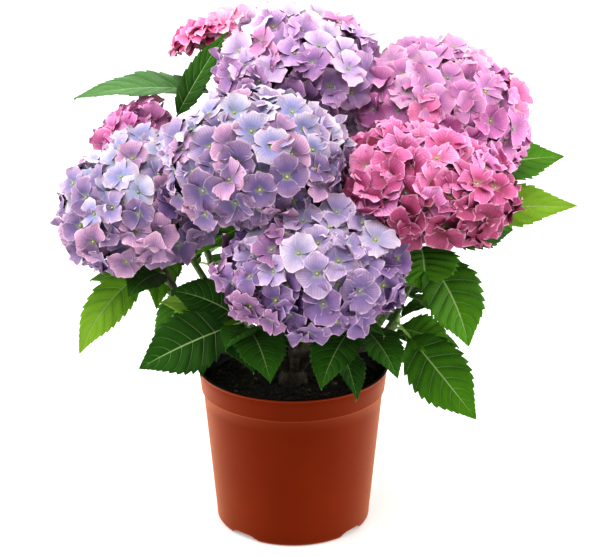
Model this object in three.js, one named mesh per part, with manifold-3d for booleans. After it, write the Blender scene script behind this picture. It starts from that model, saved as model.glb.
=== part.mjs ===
// A potted mophead hydrangea in full bloom: a thin plastic pot, its root ball, a woody crown that
// splits into canes, leafy shoots on the canes, and a domed flower head on each flowering shoot.
// Millimetres, +Z up. The origin is the middle of the pot's flat underside, and -Y is the front.
import * as THREE from "three";
import { ConvexHull } from "three/addons/math/ConvexHull.js";
import { mergeVertices } from "three/addons/utils/BufferGeometryUtils.js";
import Module from "manifold-3d";

const wasm = await Module();
wasm.setup();

// Pot and root ball
const POT_HEIGHT = 167;
const RIM_RADIUS = 96;
const BASE_RADIUS = 78;
const WALL = 1.8;
const RIM_BAND = 24; // the straight collar under the rim, below which the wall steps in
const RIM_STEP = 1.8;
const STEP_HEIGHT = 2;
const LIP = 1; // the rolled edge stands this far out of the collar
const LIP_HEIGHT = 3;
const BASE_CORNER = 4.5;
const FOOT_COUNT = 4;
const FOOT_GAP = 32; // the arch between two feet, across and up
const FOOT_GAP_HEIGHT = 6;
const FOOT_RING = 56; // where the arches end, from the middle
const FIRST_GAP_BEARING = -40;
const POT_SIDES = 36;
const GROUND = 147; // the top of the compost
const SOIL_EDGE_DROP = 2.5;
const CLEAR = 0.3; // between neighbouring solids

// Wood
const CROWN_RADIUS = 15;
const CROWN_HEIGHT = 14;
const CROWN_SIDES = 10;
const CROWN_STUB = 26;
const CANE_RADIUS = 5;
const CANE_SPREAD = 0.01; // how much a cane leans as it leaves the crown, per mm to its fork
const CANE_TIP_RADIUS = 4.2;
const FORK_STUB = 17;
const SHOOT_RADIUS = 3.4;
const SHOOT_TIP_RADIUS = 2.8;
const STALK_RADIUS = 3.4;
const STALK_BELOW_CORE = 15;
const STALK_RISE = 1.2; // how much more upright a stalk is than the dome on it
const SHOOT_BULGE = 0.25; // how far a flowering shoot swings out before it turns up
const SIDE_SHOOT_RISE = 0.8;
const STEM_SIDES = 5;
const CANE_STEPS = 4;
const SHOOT_STEPS = 5;

// Leaves
const LEAF_LENGTH = 118; // with the petiole
const LEAF_WIDTH_SHARE = 0.4;
const PETIOLE_SHARE = 0.17;
const PETIOLE_RADIUS = 1.6;
const LEAF_THICKNESS = 2; // across the midrib at the blade's foot
const LEAF_TIP_THICKNESS = 1.5;
const LEAF_FOLD = 12; // degrees that each half of the blade rises from the midrib
const BLADE_FOOT_POWER = 0.62; // low powers make the blade's foot and tip round, high ones pointed
const BLADE_TIP_POWER = 0.92;
const BLADE_STATIONS = [0.12, 0.34, 0.6, 0.85];
const YOUNG_STATIONS = [0.14, 0.42, 0.78];
const BLADE_CHECKS = 9; // stations at which a seeded blade is held against its neighbours

// Seeded leaves: degrees round the stem, then spans that each leaf draws from
const ROW_TURN = 73; // from one shoot's first pair to the next shoot's
const PAIR_TURN = 90;
const LEAF_TURN = [-12, 12];
const LEAF_PITCH = [-32, 4];
const LEAF_LENGTHS = [0.78, 1.05]; // shares of LEAF_LENGTH
const LEAF_DROOP = [35, 60];
const LEAF_ROLL = [-25, 25];
const YOUNG_LENGTHS = [0.5, 0.8]; // shares of LEAF_LENGTH, for the young leaves
const YOUNG_PITCH = [-24, 22];
const YOUNG_TURN = 40; // degrees that the first young pair is turned round the stem
const YOUNG_SEED = 20000;
const LEAF_TRIES = 6;
const LEAF_TRY_TURN = 25; // degrees further round the stem at each try
const LEAF_SPREAD = 172; // how far to either side a seeded leaf may reach
const LEAF_MARGIN = 9; // that it keeps from stems and other leaves
const POT_MARGIN = 7; // from the pot's rim
const HEAD_MARGIN = 1.1; // and from flower heads, as a share of their domes
const STEM_CHECKS = 20;

// Flower heads
const FLORETS = 24;
const FLORET_RADIUS = 19; // in a head of half width FLORET_HEAD, and in proportion in the others
const FLORET_HEAD = 84;
const PETALS = 4;
const NOTCH_SHARE = 0.62; // how far out the notch between two petals lies
const FLORET_EYE = 0.93; // depths in the head, as shares of the dome
const FLORET_NOTCH = 0.95;
const DIMPLE = 0.8;
const HEAD_DEPTH_SHARE = 0.88; // a head is this much less deep than it is wide
const UNDERSIDE_SHARE = 0.6; // its height below the widest ring, in heights above it
const LOWEST_FLORET = 116; // degrees from the top of the dome
const CORE = 0.74;
const ENVELOPE = 1.07; // the dome that a head keeps free of the heads behind it
const DOME_SIDES = 12;
const DOME_BANDS = 8;
const HEAD_SEED = 29;

const COLOURS = {
  pot: 0xa84e2a,
  soil: 0x1e1814,
  bark: 0x4b3d2d,
  leaf: 0x2f6b1f,
  blue: 0x9c97d0,
  lilac: 0xc7a5da,
  mauve: 0xdb93c9,
  pink: 0xe0669f,
  violet: 0xa783c9,
  coral: 0xe26284,
};

// Canes: the fork at the top of each one
const CANES = {
  front: [10, -44, 200],
  left: [-72, -22, 190],
  right: [70, -22, 192],
  middle: [0, 38, 238],
  rear: [52, 68, 202],
  rear_left: [-70, 54, 200],
};

// Flower heads: the cane that bears each one, the middle of its widest ring, half its width, its
// height above that ring, the way its dome faces, and the heads in front that press into it.
const HEADS = {
  low_violet: { cane: "front", at: [22, -147, 319], wide: 80, high: 55, faces: [0.02, -0.4, 0.91] },
  front_blue: {
    cane: "front", at: [-33, -98, 404], wide: 85, high: 57, faces: [-0.1, -0.42, 0.9],
    yields: ["low_violet"],
  },
  left_blue: {
    cane: "left", at: [-142, -25, 341], wide: 86, high: 61, faces: [-0.3, -0.42, 0.86],
    yields: ["front_blue", "low_violet"],
  },
  right_pink: {
    cane: "right", at: [122, -95, 379], wide: 81, high: 47, faces: [0.14, -0.25, 0.95],
    yields: ["low_violet", "front_blue"],
  },
  right_lilac: {
    cane: "right", at: [147, 40, 413], wide: 90, high: 66, faces: [0.32, -0.22, 0.92],
    yields: ["right_pink"],
  },
  top_lilac: {
    cane: "middle", at: [8, 50, 451], wide: 83, high: 62, faces: [0.02, -0.2, 0.98],
    yields: ["front_blue", "right_lilac", "right_pink"],
  },
  left_magenta: {
    cane: "rear_left", at: [-160, 84, 381], wide: 36, high: 28, faces: [-0.6, 0.2, 0.77],
    yields: ["left_blue"],
  },
  back_coral: {
    cane: "middle", at: [-66, 136, 466], wide: 59, high: 21, faces: [-0.2, 0.36, 0.91],
    yields: ["top_lilac", "left_magenta"],
  },
  rear_lilac: {
    cane: "rear", at: [26, 172, 370], wide: 78, high: 56, faces: [0.1, 0.5, 0.86],
    yields: ["top_lilac", "back_coral"],
  },
  rear_pink: {
    cane: "rear", at: [160, 158, 338], wide: 76, high: 54, faces: [0.45, 0.4, 0.8],
    yields: ["right_lilac", "rear_lilac"],
  },
  rear_blue: {
    cane: "rear_left", at: [-112, 158, 318], wide: 78, high: 54, faces: [-0.45, 0.45, 0.77],
    yields: ["left_magenta", "rear_lilac", "left_blue", "back_coral"],
  },
  rear_violet: {
    cane: "rear", at: [48, 208, 260], wide: 74, high: 48, faces: [0.1, 0.6, 0.8],
    yields: ["rear_lilac", "rear_pink", "rear_blue"],
  },
};
const HEAD_COLOURS = {
  low_violet: "violet", front_blue: "blue", left_blue: "blue", right_pink: "pink",
  right_lilac: "mauve", top_lilac: "lilac", left_magenta: "mauve", back_coral: "coral",
  rear_lilac: "lilac", rear_pink: "mauve", rear_blue: "blue", rear_violet: "violet",
};

// Leafy shoots that bear no flower: their cane, the way they leave it, and where they end
const SIDE_SHOOTS = {
  low_left: { cane: "front", leaves: [-0.72, -0.42, 0.5], to: [-47, -84, 245] },
  low_right: { cane: "front", leaves: [0.7, -0.45, 0.5], to: [62, -84, 243] },
  side_right: { cane: "right", leaves: [0.5, -0.74, 0.45], to: [100, -72, 240] },
  side_rear_right: { cane: "right", leaves: [0.8, 0.5, 0.35], to: [122, 34, 244] },
  side_left: { cane: "left", leaves: [-0.75, 0.5, 0.4], to: [-126, 26, 236] },
  low_rear: { cane: "rear", leaves: [-0.1, 0.9, 0.42], to: [30, 138, 224] },
  low_rear_left: { cane: "rear_left", leaves: [0.3, 0.86, 0.38], to: [-46, 124, 226] },
};

// Leaves that show from the front: where on the shoot each one springs, the point its tip reaches,
// its width, and how many degrees it bends down and rolls sideways
const FRONT_LEAVES = {
  low_left: [
    [0.96, [-144, -118, 209], 58, 14, -55],
    [0.96, [-20, -150, 209], 50, 50, 0],
    [0.86, [-117, -66, 268], 41, 40, -50],
    [0.7, [-62, -134, 236], 34, 50, 0],
    [0.6, [-130, -30, 243], 42, 40, -30],
  ],
  low_right: [
    [0.96, [26, -146, 200], 47, 50, 0],
    [0.96, [97, -148, 212], 42, 50, 0],
  ],
  side_right: [
    [0.97, [174, -118, 157], 57, 4, 58],
    [0.8, [152, -78, 212], 39, 35, 40],
  ],
  front_blue: [[0.2, [-54, -44, 248], 38, 30, 20]],
  right_pink: [
    [0.9, [123, -110, 284], 64, 54, 0],
    [0.84, [164, -122, 233], 59, 40, 30],
    [0.93, [211, -44, 322], 52, 14, 42],
  ],
  right_lilac: [
    [0.7, [277, -8, 335], 50, 2, 52],
    [0.88, [282, 118, 350], 56, 12, 42],
  ],
  left_blue: [
    [0.8, [-207, -62, 201], 39, 50, -60],
    [0.68, [-155, -88, 270], 36, 40, -20],
    [0.55, [-203, 6, 253], 34, 40, -20],
  ],
  side_left: [
    [0.97, [-186, 70, 228], 42, 40, 0],
    [0.97, [-150, 104, 230], 44, 40, 0],
  ],
  side_rear_right: [
    [0.97, [176, 98, 240], 41, 40, 0],
    [0.97, [168, -2, 250], 37, 30, 20],
    [0.6, [150, 118, 214], 44, 40, 0],
  ],
  back_coral: [
    [0.85, [-222, 92, 418], 51, 30, -14],
    [0.93, [-40, 232, 408], 46, 50, 0],
  ],
  left_magenta: [
    [0.9, [-65, 67, 491], 37, 12, 60, 0.42],
    [0.9, [-214, 96, 318], 44, 40, -20],
  ],
};

// Pairs of leaves that a seeded rule sets on the shoots: their places along the shoot
const LEAF_PAIRS = {
  low_violet: [],
  front_blue: [0.8],
  left_blue: [0.34],
  right_pink: [0.3],
  right_lilac: [0.45],
  top_lilac: [0.3, 0.52, 0.74],
  left_magenta: [0.5],
  back_coral: [0.4, 0.66],
  rear_lilac: [0.4, 0.65, 0.9],
  rear_pink: [0.3, 0.55, 0.8],
  rear_blue: [0.3, 0.55, 0.8],
  rear_violet: [0.35, 0.6, 0.85],
  side_right: [0.5],
  low_rear: [0.4, 0.7, 0.97],
  low_rear_left: [0.4, 0.7, 0.97],
};

// Pairs of young leaves that a second pass sets between them and low on the shoots
const YOUNG_PAIRS = {
  right_pink: [0.14, 0.46, 0.76],
  right_lilac: [0.24, 0.64],
  side_right: [0.3, 0.97],
  side_rear_right: [0.3, 0.8],
  rear_pink: [0.16, 0.42],
  rear_violet: [0.16, 0.48],
  low_rear: [0.2, 0.55],
  rear_lilac: [0.2, 0.52],
  low_rear_left: [0.2, 0.55],
  rear_blue: [0.16, 0.42],
  left_magenta: [0.24, 0.75],
  side_left: [],
  left_blue: [0.15, 0.5, 0.78],
  back_coral: [0.22, 0.53],
  top_lilac: [0.63],
  low_violet: [0.3, 0.8],
  front_blue: [0.25, 0.63],
  low_left: [0.35],
  low_right: [0.4, 0.7],
};

const paint = (name, roughness = 0.7) =>
  new THREE.MeshStandardMaterial({ color: COLOURS[name], roughness, metalness: 0 });

// Solids

function solidOf(geometry) {
  const bare = geometry.clone();
  bare.deleteAttribute("normal");
  bare.deleteAttribute("uv");
  const merged = mergeVertices(bare, 1e-3);
  return new wasm.Manifold(
    new wasm.Mesh({
      numProp: 3,
      vertProperties: new Float32Array(merged.attributes.position.array),
      triVerts: new Uint32Array(merged.index.array),
    }),
  );
}

function geometryOf(solid) {
  const made = solid.getMesh();
  const places = new Float32Array(made.numVert * 3);
  for (let i = 0; i < made.numVert; i++) {
    const start = i * made.numProp;
    places.set(made.vertProperties.subarray(start, start + 3), i * 3);
  }
  return new THREE.BufferGeometry()
    .setAttribute("position", new THREE.BufferAttribute(places, 3))
    .setIndex(new THREE.BufferAttribute(new Uint32Array(made.triVerts), 1));
}

const fuse = (solids) => solids.reduce((sum, next) => sum.add(next));

// The largest of a solid's separate bodies, without loose scraps.
const wholeBody = (solid) =>
  solid.decompose().reduce((best, body) => (body.volume() > best.volume() ? body : best));

// Rings of points that run counter-clockwise round the way they advance, joined one to the next.
// A ring of one point is a tip, and a longer ring at either end is closed by a flat cap.
function loft(rings) {
  const places = [];
  const starts = rings.map((ring) => {
    const start = places.length / 3;
    ring.forEach((point) => places.push(point.x, point.y, point.z));
    return start;
  });
  const faces = [];
  for (let r = 0; r + 1 < rings.length; r++) {
    const [low, high] = [rings[r].length, rings[r + 1].length];
    const [a, b] = [starts[r], starts[r + 1]];
    const count = Math.max(low, high);
    for (let i = 0; i < count; i++) {
      const next = (i + 1) % count;
      if (low > 1) faces.push(a + i, a + next, b + (high > 1 ? next : 0));
      if (high > 1) faces.push(a + (low > 1 ? i : 0), b + next, b + i);
    }
  }
  for (let i = 1; i + 1 < rings[0].length; i++) faces.push(0, i + 1, i);
  const last = starts.at(-1);
  for (let i = 1; i + 1 < rings.at(-1).length; i++) faces.push(last, last + i, last + i + 1);
  return solidOf(
    new THREE.BufferGeometry()
      .setAttribute("position", new THREE.Float32BufferAttribute(places, 3))
      .setIndex(faces),
  );
}

// Directions, curves and chance

const UP = new THREE.Vector3(0, 0, 1);
const radians = THREE.MathUtils.degToRad;
const point = (places) => new THREE.Vector3(...places);
const mix = (list) =>
  list.reduce((sum, [share, part]) => sum.addScaledVector(part, share), new THREE.Vector3());

// Three square directions: the second is as near to the first hint as the axis allows.
function frameOn(axis, hint) {
  const along = axis.clone().normalize();
  const across = hint.clone().addScaledVector(along, -hint.dot(along)).normalize();
  return { along, across, other: along.clone().cross(across) };
}

function seeded(seed) {
  let state = seed;
  return (low, high) => {
    state = (state * 1664525 + 1013904223) % 4294967296;
    return low + ((high - low) * state) / 4294967296;
  };
}

// A limb leaves one point along a direction and arrives at the other along a second direction.
function limbCurve(from, leaving, to, arriving) {
  const reach = from.distanceTo(to) / 3;
  return new THREE.CubicBezierCurve3(
    from,
    from.clone().addScaledVector(leaving, reach),
    to.clone().addScaledVector(arriving, -reach),
    to,
  );
}

function limb(curve, startRadius, endRadius, steps) {
  const hint = new THREE.Vector3(1, 0.2, 0.1);
  const rings = [];
  for (let s = 0; s <= steps; s++) {
    const centre = curve.getPoint(s / steps);
    const { across, other } = frameOn(curve.getTangent(s / steps), hint);
    const radius = THREE.MathUtils.lerp(startRadius, endRadius, s / steps);
    rings.push(
      Array.from({ length: STEM_SIDES }, (_, i) => {
        const turn = (2 * Math.PI * i) / STEM_SIDES;
        return mix([[1, centre], [radius * Math.cos(turn), across], [radius * Math.sin(turn), other]]);
      }),
    );
  }
  return loft(rings);
}

const straightLimb = (from, to, startRadius, endRadius) =>
  limb(new THREE.LineCurve3(from, to), startRadius, endRadius, 1);

// Pot and root ball

const turned = (profile, sides = POT_SIDES) =>
  solidOf(
    new THREE.LatheGeometry(
      profile.map(([radius, height]) => new THREE.Vector2(radius, height)),
      sides,
    ).rotateX(Math.PI / 2),
  );

const outerRadius = (height) =>
  THREE.MathUtils.lerp(BASE_RADIUS, RIM_RADIUS - RIM_STEP - LIP, height / POT_HEIGHT);
const BAND_FOOT = POT_HEIGHT - RIM_BAND;
const STEP_FOOT = BAND_FOOT - STEP_HEIGHT;
const FLOOR = FOOT_GAP_HEIGHT + WALL;
const FLOOR_EDGE = FLOOR + 2 * BASE_CORNER;

function potSolid() {
  const outside = [
    [0, 0],
    [BASE_RADIUS - BASE_CORNER, 0],
    [BASE_RADIUS - BASE_CORNER * 0.3, BASE_CORNER * 0.3],
    [outerRadius(BASE_CORNER), BASE_CORNER],
    [outerRadius(STEP_FOOT), STEP_FOOT],
    [outerRadius(BAND_FOOT) + RIM_STEP, BAND_FOOT],
    [RIM_RADIUS - LIP, POT_HEIGHT - LIP_HEIGHT - LIP],
    [RIM_RADIUS, POT_HEIGHT - LIP_HEIGHT],
    [RIM_RADIUS, POT_HEIGHT],
  ];
  const inside = [
    [RIM_RADIUS - LIP - WALL, POT_HEIGHT],
    [outerRadius(BAND_FOOT) + RIM_STEP - WALL, BAND_FOOT],
    [outerRadius(STEP_FOOT) - WALL, STEP_FOOT],
    [outerRadius(FLOOR_EDGE) - WALL, FLOOR_EDGE],
    [outerRadius(BASE_CORNER) - WALL - BASE_CORNER, FLOOR],
    [0, FLOOR],
  ];
  const length = BASE_RADIUS - FOOT_RING + FOOT_GAP_HEIGHT;
  const gaps = Array.from({ length: FOOT_COUNT }, (_, i) =>
    solidOf(
      new THREE.BoxGeometry(length, FOOT_GAP, 2 * FOOT_GAP_HEIGHT)
        .translate(FOOT_RING + length / 2, 0, 0)
        .rotateZ(radians(FIRST_GAP_BEARING + (360 / FOOT_COUNT) * i)),
    ),
  );
  return gaps.reduce((rest, gap) => rest.subtract(gap), turned([...outside, ...inside]));
}

function rootBallSolid() {
  const inset = WALL + 2 * CLEAR;
  const side = outerRadius(STEP_FOOT) - inset;
  return turned([
    [0, FLOOR + CLEAR],
    [outerRadius(BASE_CORNER) - inset - BASE_CORNER - 1, FLOOR + CLEAR],
    [outerRadius(FLOOR_EDGE) - inset, FLOOR_EDGE + 1],
    [side, STEP_FOOT],
    [side, GROUND - SOIL_EDGE_DROP],
    [side * 0.6, GROUND],
    [0, GROUND],
  ]);
}

// Canes, shoots and the joints between them

const CROWN_TOP = new THREE.Vector3(0, 0, GROUND + CLEAR);

const along = (from, to) => to.clone().sub(from).normalize();

function headFrame(head) {
  const { along: axis, across, other } = frameOn(point(head.faces), new THREE.Vector3(1, 0, 0));
  const stalk = mix([[1, axis], [STALK_RISE, UP]]).normalize();
  const centre = point(head.at);
  const drop = CORE * UNDERSIDE_SHARE * head.high + STALK_BELOW_CORE;
  return { centre, axis, across, other, stalk, foot: centre.clone().addScaledVector(stalk, -drop) };
}

// A place in a head's own directions, scaled so that its dome is a sphere of radius 1
function inDome(head, place) {
  const { centre, axis, across, other } = headFrame(head);
  const offset = place.clone().sub(centre);
  const height = offset.dot(axis);
  return new THREE.Vector3(
    offset.dot(across) / head.wide,
    offset.dot(other) / (head.wide * HEAD_DEPTH_SHARE),
    height / (height > 0 ? head.high : head.high * UNDERSIDE_SHARE),
  );
}

// How far out a place lies in a head: 1 on the surface of its dome
const reachIn = (head, place) => inDome(head, place).length();

// Every shoot's curve, from just past its cane's fork to its flower head or its own tip
function shootCurves() {
  const curves = {};
  const add = (name, cane, leaving, end, arriving) => {
    const fork = point(CANES[cane]);
    const start = fork.clone().addScaledVector(leaving, FORK_STUB + CLEAR);
    curves[name] = { cane, leaving, curve: limbCurve(start, leaving, end, arriving) };
  };
  for (const [name, head] of Object.entries(HEADS)) {
    const { foot, stalk } = headFrame(head);
    const end = foot.clone().addScaledVector(stalk, -CLEAR);
    const straight = along(point(CANES[head.cane]), end);
    const leaving = mix([[1, straight], [-SHOOT_BULGE, stalk]]).normalize();
    add(name, head.cane, leaving, end, stalk);
  }
  for (const [name, shoot] of Object.entries(SIDE_SHOOTS)) {
    const leaving = point(shoot.leaves).normalize();
    const end = point(shoot.to);
    add(name, shoot.cane, leaving, end, mix([[1, leaving], [SIDE_SHOOT_RISE, UP]]).normalize());
  }
  return curves;
}
const SHOOTS = shootCurves();

// The canes spring from one point inside the crown, nearly upright.
const CANE_ROOT = CROWN_TOP.clone().addScaledVector(UP, CANE_RADIUS + 1);
const caneStart = (name) =>
  mix([[CANE_SPREAD, point(CANES[name]).setZ(0)], [1, UP]]).normalize();

function crownSolid() {
  const profile = [
    [0, 0],
    [CROWN_RADIUS, 0],
    [CROWN_RADIUS * 0.95, CROWN_HEIGHT * 0.4],
    [CROWN_RADIUS * 0.6, CROWN_HEIGHT * 0.85],
    [0, CROWN_HEIGHT],
  ];
  const dome = turned(profile, CROWN_SIDES).translate(CROWN_TOP.toArray());
  const stubs = Object.keys(CANES).map((name) => {
    const end = CANE_ROOT.clone().addScaledVector(caneStart(name), CROWN_STUB);
    return straightLimb(CANE_ROOT, end, CANE_RADIUS, CANE_RADIUS);
  });
  return fuse([dome, ...stubs]);
}

function caneCurve(name) {
  const fork = point(CANES[name]);
  const leaving = caneStart(name);
  const start = CANE_ROOT.clone().addScaledVector(leaving, CROWN_STUB + CLEAR);
  return limbCurve(start, leaving, fork, along(start, fork));
}

function caneSolid(name) {
  const fork = point(CANES[name]);
  const stubs = Object.values(SHOOTS)
    .filter((shoot) => shoot.cane === name)
    .map(({ leaving: way }) =>
      straightLimb(
        fork.clone().addScaledVector(way, -1),
        fork.clone().addScaledVector(way, FORK_STUB),
        CANE_TIP_RADIUS,
        SHOOT_RADIUS,
      ),
    );
  return fuse([limb(caneCurve(name), CANE_RADIUS, CANE_TIP_RADIUS, CANE_STEPS), ...stubs]);
}

// Leaves

// A leaf's midrib is an arc from the stem to the tip, bent down by a number of degrees.
function leafLine(base, tip, droop) {
  const chord = tip.clone().sub(base);
  const level = Math.hypot(chord.x, chord.y);
  const pitch = Math.atan2(chord.z, level);
  const heading = new THREE.Vector3(chord.x / level, chord.y / level, 0);
  const half = radians(droop) / 2;
  const radius = chord.length() / (2 * Math.sin(half));
  const at = (share) => {
    const turn = 2 * half * share;
    const ahead = 2 * radius * Math.sin(turn / 2);
    const slope = pitch + half - turn / 2;
    return mix([[1, base], [ahead * Math.cos(slope), heading], [ahead * Math.sin(slope), UP]]);
  };
  const way = (share) => {
    const slope = pitch + half - 2 * half * share;
    return mix([[Math.cos(slope), heading], [Math.sin(slope), UP]]);
  };
  return { at, way, side: new THREE.Vector3(-heading.y, heading.x, 0) };
}

// The blade's half width, as a share of the widest, from its foot at 0 to its tip at 1
const swell = (share) => share ** BLADE_FOOT_POWER * (1 - share) ** BLADE_TIP_POWER;
const widestAt = BLADE_FOOT_POWER / (BLADE_FOOT_POWER + BLADE_TIP_POWER);
const bladeShape = (share) => swell(share) / swell(widestAt);

function leafSolid(leaf) {
  const line = leafLine(leaf.base, leaf.tip, leaf.droop);
  const ringAt = (share, halfWidth, thickness, roll, fold) => {
    const centre = line.at(share);
    const way = line.way(share);
    const normal = way.clone().cross(line.side);
    const turn = radians(roll);
    const side = mix([[Math.cos(turn), line.side], [Math.sin(turn), normal]]);
    const over = way.clone().cross(side);
    const rise = halfWidth * Math.tan(radians(fold));
    return [
      mix([[1, centre], [halfWidth, side], [rise, over]]),
      mix([[1, centre], [thickness / 2, over]]),
      mix([[1, centre], [-halfWidth, side], [rise, over]]),
      mix([[1, centre], [-thickness / 2, over]]),
    ];
  };
  const stalk = ringAt(0, PETIOLE_RADIUS, 2 * PETIOLE_RADIUS, 0, 0);
  const neck = ringAt(leaf.petiole, PETIOLE_RADIUS, 2 * PETIOLE_RADIUS, leaf.roll / 2, 0);
  const blade = leaf.stations.map((share) =>
    ringAt(
      leaf.petiole + (1 - leaf.petiole) * share,
      (leaf.width / 2) * bladeShape(share),
      THREE.MathUtils.lerp(LEAF_THICKNESS, LEAF_TIP_THICKNESS, share),
      leaf.roll,
      LEAF_FOLD,
    ),
  );
  return loft([stalk, neck, ...blade, [line.at(1)]]);
}

// Points on the blade and along the stems, for keeping the seeded leaves clear of everything
function bladePoints(leaf) {
  const line = leafLine(leaf.base, leaf.tip, leaf.droop);
  const turn = radians(leaf.roll);
  const points = [];
  for (let i = 1; i <= BLADE_CHECKS; i++) {
    const share = i / BLADE_CHECKS;
    const normal = line.way(share).cross(line.side);
    const side = mix([[Math.cos(turn), line.side], [Math.sin(turn), normal]]);
    const blade = Math.max(0, (share - leaf.petiole) / (1 - leaf.petiole));
    const half = (leaf.width / 2) * bladeShape(blade);
    for (const part of [-1, -0.5, 0, 0.5, 1]) {
      points.push(line.at(share).addScaledVector(side, half * part));
    }
  }
  return points;
}

// The two kinds of leaf that the seeded rule sets
const FULL_GROWN = {
  pairs: LEAF_PAIRS, turn: 0, seed: 0, lengths: LEAF_LENGTHS, pitch: LEAF_PITCH,
  stations: BLADE_STATIONS,
};
const YOUNG = {
  pairs: YOUNG_PAIRS, turn: YOUNG_TURN, seed: YOUNG_SEED, lengths: YOUNG_LENGTHS,
  pitch: YOUNG_PITCH, stations: YOUNG_STATIONS,
};

// A leaf of the seeded rule, or nothing where none of its tries stays clear of the rest of the plant
function seededLeaf(shoot, share, bearing, seed, stems, taken, kind) {
  const base = SHOOTS[shoot].curve.getPoint(share);
  for (let attempt = 0; attempt < LEAF_TRIES; attempt++) {
    const chance = seeded(seed + attempt);
    const turn = radians(bearing + chance(...LEAF_TURN) + LEAF_TRY_TURN * attempt);
    const pitch = radians(chance(...kind.pitch));
    const length = LEAF_LENGTH * chance(...kind.lengths);
    const level = length * Math.cos(pitch);
    const reach = point([level * Math.cos(turn), level * Math.sin(turn), length * Math.sin(pitch)]);
    const leaf = {
      shoot, base, tip: base.clone().add(reach), width: length * LEAF_WIDTH_SHARE,
      droop: chance(...LEAF_DROOP), roll: chance(...LEAF_ROLL), petiole: PETIOLE_SHARE,
      stations: kind.stations,
    };
    const points = bladePoints(leaf);
    const blocked = points.some(
      (place) =>
        Math.abs(place.x) > LEAF_SPREAD ||
        (place.z < POT_HEIGHT + POT_MARGIN &&
          Math.hypot(place.x, place.y) < RIM_RADIUS + POT_MARGIN) ||
        Object.values(HEADS).some((head) => reachIn(head, place) < HEAD_MARGIN) ||
        stems.some((stem) => stem.shoot !== shoot && place.distanceTo(stem.at) < LEAF_MARGIN) ||
        taken.some((other) => other.some((their) => place.distanceTo(their) < LEAF_MARGIN)),
    );
    if (!blocked) return { leaf, points };
  }
  return null;
}

function plantLeaves() {
  const leaves = [];
  for (const [shoot, rows] of Object.entries(FRONT_LEAVES)) {
    for (const [share, tip, width, droop, roll, petiole = PETIOLE_SHARE] of rows) {
      const base = SHOOTS[shoot].curve.getPoint(share);
      leaves.push({
        shoot, base, tip: point(tip), width, droop, roll, petiole, stations: BLADE_STATIONS,
      });
    }
  }
  const stems = [];
  const addStem = (shoot, curve) => {
    for (let i = 0; i <= STEM_CHECKS; i++) stems.push({ shoot, at: curve.getPoint(i / STEM_CHECKS) });
  };
  for (const [shoot, { curve }] of Object.entries(SHOOTS)) addStem(shoot, curve);
  for (const name of Object.keys(CANES)) addStem("", caneCurve(name));
  const taken = leaves.map(bladePoints);
  for (const kind of [FULL_GROWN, YOUNG]) {
    Object.entries(kind.pairs).forEach(([shoot, places], row) => {
      places.forEach((share, pair) => {
        for (const side of [0, 1]) {
          const bearing = kind.turn + ROW_TURN * row + PAIR_TURN * pair + 180 * side;
          const seed = kind.seed + 1000 * row + 100 * pair + 50 * side;
          const found = seededLeaf(shoot, share, bearing, seed, stems, taken, kind);
          if (!found) continue;
          leaves.push(found.leaf);
          taken.push(found.points);
        }
      });
    });
  }
  return leaves;
}
const LEAVES = plantLeaves();

function shootSolid(name) {
  const stem = limb(SHOOTS[name].curve, SHOOT_RADIUS, SHOOT_TIP_RADIUS, SHOOT_STEPS);
  const leaves = LEAVES.filter((leaf) => leaf.shoot === name).map(leafSolid);
  return wholeBody(fuse([stem, ...leaves]));
}

// Flower heads

// A head's plain dome at a share of its size, as rings from its underside to its top
function domeSolid(head, share) {
  const { centre, axis, across, other } = headFrame(head);
  const rings = [];
  for (let band = 0; band <= DOME_BANDS; band++) {
    const polar = Math.PI * (1 - band / DOME_BANDS);
    const level = Math.sin(polar) * head.wide * share;
    const height = Math.cos(polar) * head.high * share * (polar > Math.PI / 2 ? UNDERSIDE_SHARE : 1);
    const middle = centre.clone().addScaledVector(axis, height);
    const single = band === 0 || band === DOME_BANDS;
    rings.push(
      single
        ? [middle]
        : Array.from({ length: DOME_SIDES }, (_, i) => {
            const turn = (2 * Math.PI * i) / DOME_SIDES;
            return mix([
              [1, middle],
              [level * Math.cos(turn), across],
              [level * Math.sin(turn) * HEAD_DEPTH_SHARE, other],
            ]);
          }),
    );
  }
  return loft(rings);
}

function fromDome(head, local) {
  const { centre, axis, across, other } = headFrame(head);
  const tall = local.z > 0 ? head.high : head.high * UNDERSIDE_SHARE;
  return mix([
    [1, centre],
    [local.x * head.wide, across],
    [local.y * head.wide * HEAD_DEPTH_SHARE, other],
    [local.z * tall, axis],
  ]);
}

function domeNormal(head, local) {
  const { axis, across, other } = headFrame(head);
  const tall = local.z > 0 ? head.high : head.high * UNDERSIDE_SHARE;
  return mix([
    [local.x / head.wide, across],
    [local.y / (head.wide * HEAD_DEPTH_SHARE), other],
    [local.z / tall, axis],
  ]).normalize();
}

// Floret middles on the dome, by the golden angle from its top to just under its rim
function floretPlaces(count) {
  const lowest = Math.cos(radians(LOWEST_FLORET));
  return Array.from({ length: count }, (_, i) => {
    const height = 1 - ((1 - lowest) * (i + 0.5)) / count;
    const turn = i * Math.PI * (3 - Math.sqrt(5));
    const level = Math.sqrt(1 - height * height);
    return new THREE.Vector3(level * Math.cos(turn), level * Math.sin(turn), height);
  });
}

const hullFaces = (directions) => {
  const hull = new ConvexHull().setFromPoints(directions);
  return hull.faces.map(({ edge }) => [edge.tail().point, edge.head().point, edge.next.head().point]);
};

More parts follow.
